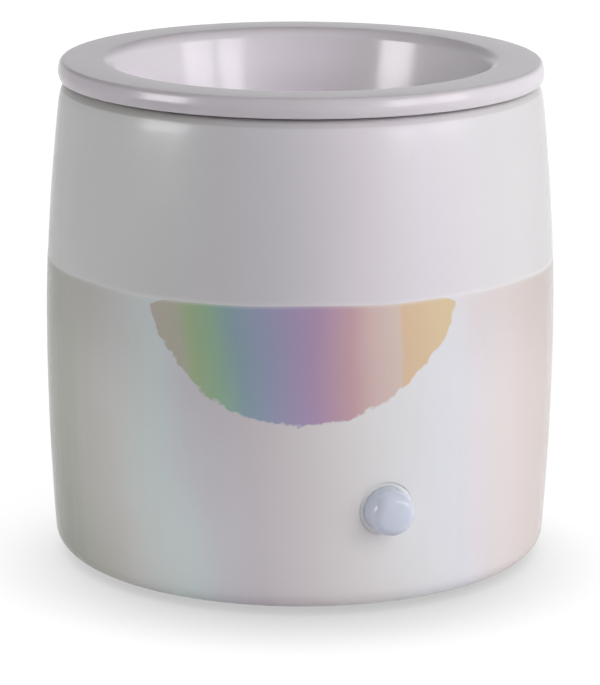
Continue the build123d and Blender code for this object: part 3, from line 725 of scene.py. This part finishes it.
def frosted_cap():
    """Frosted translucent plastic of the button."""
    f = Finish("frosted_cap")
    return f.surface(
        Base_Color=f.varied(srgb(201, 206, 221), f.noise(4.0), 0.02),
        Roughness=f.between(0.10, 0.15, 2.5),
        Normal=f.bump(f.noise(0.9), 0.002),
        IOR=1.58,
        Subsurface_Weight=0.35,
        Subsurface_Radius=(1.0, 1.1, 1.3),
        Subsurface_Scale=1.5 * MM,
    )


def moulded(name, colour, rough, grain, depth):
    """Moulded plastic or rubber: slight clouds in its colour and a fine spark-eroded grain."""
    f = Finish(name)
    tone = f.varied(colour, f.noise(8, 3.0), 0.06)
    sheen = f.between(rough - 0.06, rough + 0.06, 5)
    normal = f.bump(f.noise(grain), depth, f.soft_edges(0.25))
    return f.surface(Base_Color=tone, Roughness=sheen, Normal=normal)


def plated_steel(name, colour, line_depth):
    """Zinc-plated steel: spangles, drawn lines along X and a duller film in patches."""
    f = Finish(name)
    tone = f.varied(colour, f.cells(1.8), 0.10)
    film = f.remap(f.noise(6, 4.0), 0.45, 0.65)
    tone = f.mix(f.times(film, 0.35), tone, srgb(176, 168, 146))
    drawn = f.noise(0.25, 2.0, f.stretched(0.03, 1.0, 1.0))
    rough = f.remap(f.plus(drawn, film), 0.4, 1.4, 0.28, 0.50)
    normal = f.bump(drawn, line_depth, f.soft_edges(0.15))
    return f.surface(Base_Color=tone, Metallic=1.0, Roughness=rough, Normal=normal)


def turned_aluminium():
    """Faced aluminium: rings left by the lathe, fine scratches and a faint heat tint."""
    f = Finish("plate_aluminium")
    outward = f.fed(f.add("CombineXYZ"), f.radius()).outputs[0]
    rings = f.noise(0.8, 2.0, outward)
    scratches = f.noise(0.6, 2.0, f.stretched(0.03, 1.0, 1.0))
    tone = f.varied((0.80, 0.80, 0.80), rings, 0.08)
    tint = f.remap(f.noise(22), 0.45, 0.75, 0.0, 0.25)
    tone = f.mix(tint, tone, srgb(214, 196, 160))
    rough = f.remap(f.plus(rings, f.noise(7, 3.0)), 0.6, 1.4, 0.32, 0.48)
    turned_normal = f.bump(rings, 0.003, f.soft_edges(0.2))
    normal = f.bump(scratches, 0.0015, turned_normal)
    return f.surface(Base_Color=tone, Metallic=1.0, Roughness=rough, Normal=normal)


def extruded_aluminium():
    """Extruded case: die lines along its length."""
    f = Finish("element_case")
    lines = f.noise(0.3, 2.0, f.stretched(0.01, 1.0, 1.0))
    tone = f.varied((0.74, 0.74, 0.74), lines, 0.08)
    rough = f.between(0.32, 0.48, 4, 3.0)
    normal = f.bump(lines, 0.01, f.soft_edges(0.2))
    return f.surface(Base_Color=tone, Metallic=1.0, Roughness=rough, Normal=normal)


MICA_TONES = ((0.0, (150, 118, 74)), (0.5, (190, 166, 122)), (1.0, (214, 200, 168)))


def mica_flakes():
    """Pressed mica: brown and silver flakes."""
    f = Finish("mica")
    flakes = f.cells(1.1)
    tone = f.ramp(flakes, MICA_TONES)
    rough = f.remap(flakes, 0.0, 1.0, 0.25, 0.55)
    return f.surface(Base_Color=tone, Roughness=rough, Normal=f.bump(flakes, 0.02), IOR=1.58)


def circuit_board():
    """Green solder mask over a weave, with paler copper tracks under it."""
    f = Finish("board_laminate")
    tracks = f.remap(f.noise(2.6, 0.0, f.stretched(1.0, 1.0, 0.35)), 0.50, 0.53)
    weave = f.noise(0.5, 1.0)
    tone = f.varied((0.05, 0.22, 0.11), weave, 0.10)
    tone = f.mix(f.times(tracks, 0.5), tone, (0.11, 0.36, 0.17, 1.0))
    rough = f.remap(weave, *NOISE_SPAN, 0.28, 0.42)
    normal = f.bump(tracks, 0.03, f.bump(weave, 0.01))
    return f.surface(Base_Color=tone, Roughness=rough, Normal=normal)


def clear_resin():
    """Cast resin of the lamp, slightly milky."""
    f = Finish("lamp_lens")
    tone = f.varied((0.85, 0.85, 0.80), f.noise(1.2), 0.06)
    rough = f.between(0.08, 0.2, 0.8)
    return f.surface(Base_Color=tone, Roughness=rough, Transmission_Weight=0.6, IOR=1.54)


# Moulded pieces that keep their shape: finish, colour, roughness, grain and its depth, nodes
MOULDED = (
    ("base_plastic", (0.74, 0.74, 0.73), 0.52, 0.45, 0.03, ("base_plate",)),
    ("heater_moulding", (0.08, 0.08, 0.08), 0.55, 0.40, 0.03, ("heater_carrier",)),
    ("silicone", (0.60, 0.60, 0.58), 0.60, 0.30, 0.01, ("deck_gasket",)),
    ("fuse_body", (0.70, 0.66, 0.55), 0.35, 0.60, 0.01, ("thermal_fuse",)),
    ("switch_plastic", (0.07, 0.07, 0.07), 0.42, 0.35, 0.02, ("push_switch", "power_relay")),
    ("shaft_plastic", (0.80, 0.80, 0.78), 0.40, 0.30, 0.01, ("switch_shaft",)),
    ("capacitor_sleeve", (0.08, 0.10, 0.22), 0.26, 1.20, 0.02, ("dropper_capacitor",)),
    ("terminal_plastic", (0.12, 0.38, 0.22), 0.45, 0.35, 0.02, ("terminal_block",)),
    ("lead_insulation", (0.82, 0.80, 0.76), 0.50, 0.50, 0.02, ("heater_leads",)),
)
SHEET_STEEL = (0.66, 0.66, 0.65)
SHEET_NODES = ("clamp_ring", "heat_shield", "heater_strap", "fuse_clip")
FASTENER_STEEL = (0.68, 0.68, 0.66)
SCREW_NODES = ("plate_screws", "strap_screws", "fuse_screw", "base_screws", "board_screws")


def dress(material, *nodes):
    """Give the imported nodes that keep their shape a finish."""
    for name in nodes:
        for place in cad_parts[name].material_slots:
            place.material = material


def dress_inner_pieces():
    """Finishes of the base, the heater, the board and the fasteners."""
    for *finish, nodes in MOULDED:
        dress(moulded(*finish), *nodes)
    dress(plated_steel("sheet_steel", SHEET_STEEL, 0.01), *SHEET_NODES)
    dress(plated_steel("fastener_steel", FASTENER_STEEL, 0.005), *SCREW_NODES, "tie_pillars")
    dress(turned_aluminium(), "hot_plate")
    dress(extruded_aluminium(), "ptc_heater")
    dress(mica_flakes(), "mica_sheet")
    dress(circuit_board(), "control_board")
    dress(clear_resin(), "status_led")


# Shell: a turned section with two round holes in its wall

# Waves of the glaze line: share, count round the barrel and start in radians
GLAZE_WAVES = ((0.5, 3, 0.4), (0.3, 7, 1.9), (0.2, 13, 0.7))
GLAZE_FADE_START = 0.85 * SHELL_TOP
GLAZE_FADE_END = 0.95 * SHELL_TOP

GLAZED, BARE = 0, 1
REBATE_R = BASE_R + REBATE_GAP
REBATE_Z = FOOT_Z + REBATE_DEPTH
LEDGE_TOP = REBATE_Z + LEDGE_THICKNESS
INNER_WALL_TOP = DECK_UNDER - 2 * INNER_COVE
SHELL_FACE = barrel_r(BUTTON_Z)
GUIDE_SEAT = SHELL_FACE - COUNTERBORE_DEPTH


def glaze_line(turn):
    """Height of the wavering glaze line at an azimuth in radians."""
    waves = sum(share * math.sin(count * turn + start) for share, count, start in GLAZE_WAVES)
    return GLAZE_LINE + GLAZE_WOBBLE * waves


def glaze_rise(turn, z):
    """How far the glaze stands proud of the barrel: thinner above the line, with a bead on it."""
    over = (z - glaze_line(turn)) / GLAZE_EDGE
    step = smooth(-1, 1, over) * (1 - smooth(GLAZE_FADE_START, GLAZE_FADE_END, z))
    return GLAZE_BEAD * math.exp(-over * over) * step - GLAZE_STEP * step


def foot_round():
    """The round from the level foot up to the wall."""
    centre_z = FOOT_Z + BOTTOM_ROUND
    rise = centre_z - BELLY_HEIGHT
    centre_r = BELLY_R - LOWER_ARC + math.sqrt((LOWER_ARC - BOTTOM_ROUND) ** 2 - rise**2)
    leave = math.degrees(math.atan2(rise, centre_r - BELLY_R + LOWER_ARC))
    return arc_points((centre_r, centre_z), BOTTOM_ROUND, -90, leave, steps=10)


def shoulder_ease():
    """The tighter arc that leans the wall in from the shoulder, and the round of the lip after it."""
    lip_arc = SHOULDER_EASE - LIP_EDGE_ROUND
    lean_sine = (SHOULDER_HEIGHT - BELLY_HEIGHT) / UPPER_ARC
    lip_sine = (SHOULDER_DROP - LIP_EDGE_ROUND + SHOULDER_EASE * lean_sine) / lip_arc
    lean = math.asin(lean_sine)
    lip_lean = math.asin(lip_sine)
    ease_r = SHOULDER_R - SHOULDER_EASE * math.cos(lean)
    ease_z = SHOULDER_HEIGHT - SHOULDER_EASE * lean_sine
    lip_r = ease_r + lip_arc * math.cos(lip_lean)
    lip_z = SHELL_TOP - LIP_EDGE_ROUND
    start = math.degrees(lean)
    turn = math.degrees(lip_lean)
    ease = arc_points((ease_r, ease_z), SHOULDER_EASE, start, turn, steps=8)
    lip = arc_points((lip_r, lip_z), LIP_EDGE_ROUND, turn, 90, steps=8)
    return ease + lip[1:]


def wall_heights(low, high):
    """Heights of the wall's rows, close together at the glaze line."""
    below = GLAZE_LINE - LINE_REACH
    above = GLAZE_LINE + LINE_REACH
    rows = spread(low, below, WALL_STEP)
    rows += spread(below, above, LINE_STEP)
    rows += spread(above, high, WALL_STEP)
    return rows[1:]


def well_path(lip):
    """From the lip down the well, through the deck's hole and out to the inner wall."""
    corners = (
        (*lip, 0),
        (WELL_R, SHELL_TOP, LIP_ROUND),
        (WELL_R, DECK_TOP, WELL_COVE),
        (DECK_HOLE_R, DECK_TOP, DECK_EDGE_ROUND),
        (DECK_HOLE_R, DECK_UNDER, DECK_EDGE_ROUND),
        (inner_r(DECK_UNDER), DECK_UNDER, INNER_COVE),
        (inner_r(INNER_WALL_TOP), INNER_WALL_TOP, 0),
    )
    return rounded(corners)


def foot_path(foot):
    """From the inner wall over the ledge and the rebate to the foot."""
    corners = (
        (inner_r(LEDGE_TOP), LEDGE_TOP, 0),
        (REBATE_R - LEDGE_WIDTH, LEDGE_TOP, LEDGE_ROUND),
        (REBATE_R - LEDGE_WIDTH, REBATE_Z, LEDGE_ROUND),
        (REBATE_R, REBATE_Z, LEDGE_ROUND),
        (REBATE_R, FOOT_Z, FOOT_EDGE_ROUND),
        (*foot, 0),
    )
    return rounded(corners)


def shell_section():
    """The shell's rings as (radius, height, finish), up the outside, over the lip and down the inside."""
    foot_arc = foot_round()
    ease = shoulder_ease()
    well = well_path(ease[-1])
    heights = wall_heights(foot_arc[-1][1], SHOULDER_HEIGHT)
    inner_heights = [z for z in reversed(heights) if LEDGE_TOP + TINY < z < INNER_WALL_TOP - TINY]
    end = next(i for i, p in enumerate(well) if p[1] <= DECK_TOP - DECK_EDGE_ROUND)
    glazed = foot_arc + [(barrel_r(z), z) for z in heights] + ease + well[1:end]
    bare = well[end:] + [(inner_r(z), z) for z in inner_heights] + foot_path(foot_arc[0])[:-1]
    rings = [(*p, GLAZED) for p in glazed] + [(*p, BARE) for p in bare]
    outer_rows = {z: i for i, z in enumerate(heights, len(foot_arc))}
    inner_rows = {z: i for i, z in enumerate(inner_heights, len(glazed) + len(well) - end)}
    return rings, outer_rows, inner_rows


def on_wall(matrix, x, y, radius_at):
    """The point of a wall straight in front of (x, y) in a frame that faces outward."""
    z = matrix.translation.z + y
    return matrix @ Vector((x, y, math.sqrt(radius_at(z) ** 2 - x * x)))


def wall_normal(point):
    """The barrel's own outward normal at a point of its wall."""
    rise = point.z - BELLY_HEIGHT
    slope = rise / math.sqrt(wall_arc(point.z) ** 2 - rise**2)
    return Vector((point.x, point.y, slope * math.hypot(point.x, point.y))).normalized()


class ShellMesh:
    """The shell's points and faces, with blocks of wall left out for the holes."""

    def __init__(self):
        self.rings, self.outer_rows, self.inner_rows = shell_section()
        self.start = math.radians(BUTTON_AZIMUTH)
        self.points, self.faces, self.finishes = [], [], []
        self.normals = {}
        self.cut = set()
        outer = set(self.outer_rows.values())
        for k, (radius, z, _) in enumerate(self.rings):
            for j in range(TURN_STEPS):
                turn = self.start + 2 * math.pi * j / TURN_STEPS
                r = radius + glaze_rise(turn, z) if k in outer else radius
                self.points.append(Vector((r * math.sin(turn), -r * math.cos(turn), z)))

    def index(self, ring, column):
        """Place of a ring's point in the list of points."""
        return ring % len(self.rings) * TURN_STEPS + column % TURN_STEPS

    def block_edge(self, ring_of, heights, columns):
        """The points round a block of wall, in order, and the block's cells marked as cut."""
        rows = [ring_of[z] for z in heights]
        for low, high in zip(rows, rows[1:]):
            self.cut.update((min(low, high), j % TURN_STEPS) for j in columns[:-1])
        edge = [self.index(rows[0], j) for j in columns[:-1]]
        edge += [self.index(i, columns[-1]) for i in rows[:-1]]
        edge += [self.index(rows[-1], j) for j in reversed(columns[1:])]
        edge += [self.index(i, columns[0]) for i in reversed(rows[1:])]
        return edge

    def block(self, azimuth, height, reach):
        """The outer and the inner edge of the block of wall round a hole."""
        heights = sorted(z for z in self.inner_rows if abs(z - height) < reach)
        middle = round((math.radians(azimuth) - self.start) / (2 * math.pi) * TURN_STEPS)
        half = math.ceil(reach / barrel_r(height) / (2 * math.pi) * TURN_STEPS)
        columns = list(range(middle - half, middle + half + 1))
        return [self.block_edge(rows, heights, columns) for rows in (self.outer_rows, self.inner_rows)]

    def add_ring(self, points):
        """Add a ring of points and give their places."""
        first = len(self.points)
        self.points += points
        return list(range(first, len(self.points)))

    def bridge(self, rings, finish):
        """Faces from each ring to the next, with as many points in each."""
        for first, second in zip(rings, rings[1:]):
            count = len(first)
            for i in range(count):
                j = (i + 1) % count
                self.faces.append((first[i], first[j], second[j], second[i]))
                self.finishes.append(finish)

    def patch(self, matrix, edge, angles, radius, radius_at):
        """Rings on a wall, from next to a block's edge in to a circle."""
        rings = []
        for step in range(1, PATCH_STEPS + 1):
            share = step / PATCH_STEPS
            points = []
            for p, a in zip(edge, angles):
                x = p.x + (radius * math.cos(a) - p.x) * share
                y = p.y + (radius * math.sin(a) - p.y) * share
                points.append(on_wall(matrix, x, y, radius_at))
            rings.append(self.add_ring(points))
        return rings

    def hole(self, azimuth, height, mouth_r, stations=()):
        """A round hole through the wall, down (radius, distance) stations, with an eased outer edge."""
        matrix = facing(azimuth, height)
        inverse = matrix.inverted()
        outward = matrix.col[2].xyz
        edges = self.block(azimuth, height, mouth_r + HOLE_BLOCK)
        outer, inner = ([inverse @ self.points[i] for i in edge] for edge in edges)
        angles = [math.atan2(p.y, p.x) for p in outer]

        def circle(radius, place):
            return self.add_ring([place(radius * math.cos(a), radius * math.sin(a)) for a in angles])

        wall = self.patch(matrix, outer, angles, mouth_r + HOLE_EASE, barrel_r)
        self.normals.update((i, wall_normal(self.points[i])) for ring in wall for i in ring)
        glazed = [edges[0]] + wall
        for step in range(1, EASE_STEPS + 1):
            a = math.pi / 2 * step / EASE_STEPS
            sink = HOLE_EASE * (1 - math.cos(a))
            radius = mouth_r + HOLE_EASE * (1 - math.sin(a))
            glazed.append(circle(radius, lambda x, y: on_wall(matrix, x, y, barrel_r) - outward * sink))
        self.bridge(glazed, GLAZED)

        bare = [glazed[-1]]
        end_r = mouth_r
        for end_r, distance in stations:
            bare.append(circle(end_r, lambda x, y: matrix @ Vector((x, y, distance))))
        bare += reversed(self.patch(matrix, inner, angles, end_r, inner_r))
        self.bridge(bare + [edges[1]], BARE)

    def close(self):
        """Faces of all the cells that no hole has cut."""
        for k, (_, _, finish) in enumerate(self.rings):
            for j in range(TURN_STEPS):
                if (k, j) not in self.cut:
                    corners = ((k, j), (k, j + 1), (k + 1, j + 1), (k + 1, j))
                    self.faces.append(tuple(self.index(*corner) for corner in corners))
                    self.finishes.append(finish)


def make_shell():
    """The glazed shell, with its glaze line kept on the mesh for the material."""
    shell = ShellMesh()
    counterbore = ((COUNTERBORE_R, GUIDE_SEAT), (BUTTON_HOLE_R, GUIDE_SEAT))
    shell.hole(BUTTON_AZIMUTH, BUTTON_Z, COUNTERBORE_R, counterbore)
    shell.hole(GLAND_AZIMUTH, GLAND_Z, GLAND_HOLE_R)
    shell.close()
    used = sorted({i for face in shell.faces for i in face})
    fresh = {old: new for new, old in enumerate(used)}
    points = [shell.points[i] for i in used]
    faces = [tuple(fresh[i] for i in face) for face in shell.faces]
    piece = mesh_object("glazed_shell", points, faces, (lustre_glaze(), bisque()), shell.finishes)
    over = piece.data.attributes.new("over_glaze_line", "FLOAT", "POINT")
    turns = [math.atan2(p.x, -p.y) for p in points]
    over.data.foreach_set("value", [(p.z - glaze_line(t)) / MM for p, t in zip(points, turns)])
    normals = [shell.normals.get(i, Vector((0, 0, 0))) for i in used]
    piece.data.normals_split_custom_set_from_vertices(normals)
    settle(piece, "housing", "lustre_glaze", "body_shell")


# Dish: drafted bowl, wide flat rim with a leaning, undercut side, flat foot


def make_dish():
    """The lift-off dish, glazed all over but for its foot."""
    floor_z = RIM_TOP - BOWL_DEPTH
    floor_r = MOUTH_R - BOWL_DEPTH * BOWL_DRAFT
    rim_under = SHELL_TOP + SEAM_GAP
    skirt_r = MOUTH_R + BOWL_WALL
    corners = (
        (0, floor_z, 0),
        (floor_r, floor_z, BOWL_ROUND),
        (MOUTH_R, RIM_TOP, MOUTH_ROUND),
        (RIM_R - RIM_LEAN, RIM_TOP, RIM_EDGE_ROUND),
        (RIM_R, rim_under + RIM_UNDERCUT_HEIGHT, RIM_SIDE_ROUND),
        (RIM_R - RIM_UNDERCUT, rim_under, RIM_FOOT_ROUND),
        (skirt_r - (RIM_TOP - rim_under) * BOWL_DRAFT, rim_under, UNDER_RIM_COVE),
        (skirt_r - (RIM_TOP - DISH_FOOT) * BOWL_DRAFT, DISH_FOOT, DISH_FOOT_ROUND),
        (0, DISH_FOOT, 0),
    )
    points, faces = turned(rounded(corners, steps=14), False)
    # The foot's faces come last
    finishes = [GLAZED] * (len(faces) - TURN_STEPS) + [BARE] * TURN_STEPS
    piece = mesh_object("glazed_dish", points, faces, (dish_glaze(), bisque()), finishes)
    settle(piece, "dish", "dish_glaze", "wax_dish")


# Button, its guide and the gland, turned about axes that point out of the wall

CAP_APEX = SHELL_FACE + CAP_PROUD
GUIDE_END = SHELL_FACE - SHELL_WALL - GUIDE_OVERHANG
CAP_SHOULDER = GUIDE_END - CAP_REST_GAP
CAP_BACK = CAP_SHOULDER - CAP_FLANGE_THICKNESS
CAP_SOCKET_END = CAP_BACK + CAP_SOCKET_DEPTH


def set_in_wall(name, profile, closed, material):
    """A turned piece on the button's axis."""
    points, faces = turned(profile, closed, SMALL_STEPS)
    matrix = facing(BUTTON_AZIMUTH, BUTTON_Z)
    return mesh_object(name, [matrix @ p for p in points], faces, (material,))


def make_cap():
    """The domed cap, hollow behind, with a flange and a socket for its shaft."""
    dome_arc = arc_over(CAP_R, CAP_CROWN)
    edge_r = CAP_R - CAP_EDGE_ROUND
    edge_rise = math.sqrt((dome_arc - CAP_EDGE_ROUND) ** 2 - edge_r**2)
    edge_z = CAP_APEX - dome_arc + edge_rise
    leave = math.degrees(math.atan2(edge_rise, edge_r))
    dome = arc_points((0, CAP_APEX - dome_arc), dome_arc, 90, leave, steps=12)
    edge = arc_points((edge_r, edge_z), CAP_EDGE_ROUND, leave, 0, steps=10)
    roof = CAP_APEX - CAP_CROWN - CAP_WALL
    hollow_r = CAP_R - CAP_WALL
    inside = (
        (*edge[-1], 0),
        (CAP_R, CAP_SHOULDER, 0),
        (CAP_FLANGE_R, CAP_SHOULDER, CAP_ROUND),
        (CAP_FLANGE_R, CAP_BACK, CAP_ROUND),
        (hollow_r, CAP_BACK, CAP_ROUND),
        (hollow_r, roof, CAP_ROUND),
        (CAP_BOSS_R, roof, CAP_ROUND),
        (CAP_BOSS_R, CAP_BACK, 0),
        (CAP_SOCKET_R, CAP_BACK, 0),
        (CAP_SOCKET_R, CAP_SOCKET_END, 0),
        (0, CAP_SOCKET_END, 0),
    )
    profile = dome + edge[1:] + rounded(inside, steps=4)[1:]
    piece = set_in_wall("frosted_button", profile, False, frosted_cap())
    # Light passes through the frosted plastic
    piece.visible_shadow = False
    settle(piece, "button", "frosted_cap", "button_cap")


def make_guide():
    """The sleeve round the cap, with the ring that shows on the wall."""
    face = GUIDE_SEAT + GUIDE_FLANGE_THICKNESS
    corners = (
        (GUIDE_SLEEVE_R, GUIDE_END, 0),
        (GUIDE_SLEEVE_R, GUIDE_SEAT, 0),
        (GUIDE_FLANGE_R, GUIDE_SEAT, 0),
        (GUIDE_FLANGE_R, face, RING_ROUND),
        (GUIDE_BORE_R, face, RING_ROUND),
        (GUIDE_BORE_R, GUIDE_END, 0),
    )
    material = moulded("guide_plastic", srgb(220, 221, 222), 0.3, 0.3, 0.005)
    piece = set_in_wall("button_ring", rounded(corners, steps=5), True, material)
    settle(piece, "housing", "guide_plastic", "button_guide")


def make_gland():
    """The rubber bush, with its outer flange bedded on the barrel."""
    inner, outer = (corner.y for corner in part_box("cord_gland"))
    seat = outer - GLAND_FLANGE_THICKNESS
    inner_seat = inner + GLAND_FLANGE_THICKNESS
    corners = (
        (GLAND_NECK_R, inner_seat, 0),
        (GLAND_NECK_R, seat, 0),
        (GLAND_FLANGE_R, seat, 0),
        (GLAND_FLANGE_R, outer, GLAND_ROUND),
        (GLAND_BORE_R, outer, GLAND_ROUND),
        (GLAND_BORE_R, inner, GLAND_ROUND),
        (GLAND_INNER_R, inner, GLAND_ROUND),
        (GLAND_INNER_R, inner_seat, 0),
    )
    points, faces = turned(rounded(corners, steps=6), True, SMALL_STEPS)
    matrix = facing(GLAND_AZIMUTH, GLAND_Z)
    bedded = []
    for p in points:
        place = matrix @ p
        if abs(p.z - seat) < TINY and p.xy.length > GLAND_HOLE_R:
            place = on_wall(matrix, p.x, p.y, barrel_r) + matrix.col[2].xyz * GLAND_SEAT_GAP
        bedded.append(place)
    material = moulded("gland_rubber", srgb(205, 205, 203), 0.6, 0.35, 0.01)
    piece = mesh_object("rubber_gland", bedded, faces, (material,))
    settle(piece, "housing", "gland_rubber", "cord_gland")


# Rubber feet, under the base plate

FOOT_COUNT = 4
FOOT_R = 6.0 * MM
FOOT_CIRCLE_R = 45.75 * MM
FOOT_START = BUTTON_AZIMUTH + 15.0
FOOT_ROUND = 0.5 * MM
FOOT_DISH_R = 4.2 * MM
FOOT_DISH = 0.3 * MM


def make_feet():
    """Four pressed-in pads, slightly dished underneath so that each stands on a ring."""
    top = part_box("rubber_feet")[1].z
    corners = (
        (0, FOOT_DISH, 0),
        (FOOT_DISH_R - FOOT_DISH, FOOT_DISH, FOOT_DISH),
        (FOOT_DISH_R, 0, FOOT_DISH / 2),
        (FOOT_R, 0, FOOT_ROUND),
        (FOOT_R, top, FOOT_ROUND / 2),
        (0, top, 0),
    )
    pad_points, pad_faces = turned(rounded(corners, steps=5), False, SMALL_STEPS)
    points, faces = [], []
    for i in range(FOOT_COUNT):
        a = math.radians(FOOT_START + 360 * i / FOOT_COUNT)
        middle = Vector((math.cos(a), math.sin(a), 0)) * FOOT_CIRCLE_R
        first = len(points)
        points += [p + middle for p in pad_points]
        faces += [tuple(first + k for k in face) for face in pad_faces]
    material = moulded("foot_rubber", (0.12, 0.12, 0.12), 0.68, 0.35, 0.02)
    piece = mesh_object("foot_pads", points, faces, (material,))
    settle(piece, "housing", "foot_rubber", "rubber_feet")


# Stage: pale floor, white surroundings, soft lamps and the camera

AIM = Vector((0, 0, 50.8 * MM))
EYE = Vector((0, -808.6 * MM, 254.1 * MM))
EYE_ROLL = 0.0047
LENS = 176.74
SENSOR_WIDTH = 36.0
CLIP_START = 0.01

FLOOR_R = 6.0
FLOOR_SIDES = 96
FLOOR_GAP = 0.05 * MM
FLOOR_COLOUR = (0.80, 0.79, 0.79, 1.0)
FLOOR_SEEN_COLOUR = (0.1, 0.1, 0.1, 1.0)
FLOOR_GLOW = 0.97
WHITE = (1.0, 1.0, 1.0, 1.0)

# The object's shadow on the floor, which leans forward
SHADOW_REACH = 0.036
SHADOW_LEAN = (0.0, 1.1, 0.0)
SHADOW_DEPTH = 0.52

# The surroundings as the glaze mirrors them: a darker sector in front (DARK_FLOOR in millimetres)
DARK_SIDE = Vector((-0.53, -0.85, 0.0))
DARK_SHARE = 0.7
DARK_SPREAD = (0.45, 0.95)
DARK_FLOOR = (100.0, 300.0)
SKY_HORIZON = 0.04
SKY_TOP = 0.02
MIRRORED_TOP = 0.15
SKY_TURN = 0.55

# Soft lamps: azimuth, elevation, width, height, watts, seen in the glaze, lighting the object
LAMP_DISTANCE = 1.1
LAMPS = (
    ("key", 60, 29, 1.5, 1.1, 12.8, False, True),
    ("front", 0, 60, 0.8, 0.6, 0.55, False, True),
    ("panel_near", 47.7, 15, 0.31, 0.40, 1.2, True, False),
    ("panel_far", 72, 15, 0.40, 0.40, 1.4, True, True),
    ("back", 180, 12, 1.0, 0.3, 4.5, False, True),
    ("left", -68, 17, 0.7, 0.6, 4.3, False, True),
    ("panel_left", -65.5, 15, 0.45, 0.40, 3.2, True, False),
)


def dark_side(nodes, place):
    """1 all round but for a darker sector in front, as the surroundings show in the glaze."""
    flat = nodes.vectors("MULTIPLY", place, (1, 1, 0))
    ahead = nodes.vectors("DOT_PRODUCT", nodes.vectors("NORMALIZE", flat), DARK_SIDE)
    return nodes.remap(ahead, *DARK_SPREAD, 1.0, 1.0 - DARK_SHARE)


def make_world():
    """Little light on the object; white where it is seen, with a darker top and front in mirrors."""
    world = bpy.data.worlds.new("studio")
    world.use_nodes = True
    nodes = Nodes(world.node_tree)
    background = world.node_tree.nodes["Background"]
    direction = nodes.add("TexCoord").outputs["Generated"]
    height = nodes.split(direction)["Z"]
    path = nodes.add("LightPath").outputs
    lit = nodes.remap(height, 0.0, SKY_TURN, SKY_HORIZON, SKY_TOP)
    mirrored = nodes.remap(height, 0.0, SKY_TURN, dark_side(nodes, direction), MIRRORED_TOP)
    level = nodes.remap(path["Is Glossy Ray"], 0.0, 1.0, lit, mirrored)
    clear = nodes.math("MAXIMUM", path["Is Camera Ray"], path["Is Transmission Ray"])
    nodes.fed(background, Color=WHITE, Strength=nodes.remap(clear, 0.0, 1.0, level, 1.0))
    bpy.context.scene.world = world


def floor_glow(f, path):
    """How white the floor shows: shaded round the object, and darker in front where a glaze mirrors it."""
    upright = f.add("NewGeometry").outputs["Normal"]
    leaning = f.vectors("ADD", upright, SHADOW_LEAN)
    shade = f.fed(f.add("AmbientOcclusion"), Distance=SHADOW_REACH, Normal=leaning)
    open_sky = f.remap(shade.outputs["AO"], 0.0, 1.0, FLOOR_GLOW * (1 - SHADOW_DEPTH), FLOOR_GLOW)
    far = f.remap(f.vectors("LENGTH", f.place), *DARK_FLOOR, 1.0, dark_side(f, f.place))
    mirrored = f.remap(path["Is Glossy Ray"], 0.0, 1.0, 1.0, far)
    return f.times(open_sky, mirrored)


def make_floor():
    """A wide white floor with the object's shadow on it."""
    mesh = bpy.data.meshes.new("floor")
    work = bmesh.new()
    bmesh.ops.create_circle(work, cap_ends=True, segments=FLOOR_SIDES, radius=FLOOR_R)
    work.to_mesh(mesh)
    work.free()
    floor = new_object("floor", mesh)
    floor.location.z = -FLOOR_GAP
    f = Finish("floor")
    path = f.add("LightPath").outputs
    seen = path["Is Camera Ray"]
    for name in ("Is Glossy Ray", "Is Transmission Ray"):
        seen = f.math("MAXIMUM", seen, path[name])
    material = f.surface(
        Base_Color=f.mix(seen, FLOOR_COLOUR, FLOOR_SEEN_COLOUR),
        Roughness=1.0,
        Specular_IOR_Level=0.0,
        Emission_Color=WHITE,
        Emission_Strength=f.times(floor_glow(f, path), seen),
    )
    mesh.materials.append(material)


def softbox(name, azimuth, elevation, width, height, watts, mirrored, lights):
    """A soft rectangular lamp that looks at the object: seen in its glaze, lighting it, or both."""
    data = bpy.data.lights.new(name, "AREA")
    data.shape = "RECTANGLE"
    data.size = width
    data.size_y = height
    data.energy = watts
    a = math.radians(azimuth)
    e = math.radians(elevation)
    away = Vector((math.sin(a) * math.cos(e), -math.cos(a) * math.cos(e), math.sin(e)))
    lamp = new_object(name, data)
    lamp.location = AIM + away * LAMP_DISTANCE
    lamp.rotation_euler = away.to_track_quat("Z", "Y").to_euler()
    lamp.visible_camera = False
    lamp.visible_glossy = mirrored
    lamp.visible_diffuse = lights


def make_camera():
    """A long lens, a little above the rim."""
    data = bpy.data.cameras.new("camera")
    data.lens = LENS
    data.sensor_width = SENSOR_WIDTH
    data.clip_start = CLIP_START
    camera = new_object("camera", data)
    camera.location = EYE
    look = (AIM - EYE).to_track_quat("-Z", "Y").to_matrix().to_4x4()
    camera.rotation_euler = (look @ Matrix.Rotation(EYE_ROLL, 4, "Z")).to_euler()
    bpy.context.scene.camera = camera


make_shell()
make_dish()
make_cap()
make_guide()
make_gland()
make_feet()
dress_inner_pieces()

make_world()
make_floor()
for values in LAMPS:
    softbox(*values)
make_camera()

bpy.context.scene.view_settings.view_transform = "Standard"
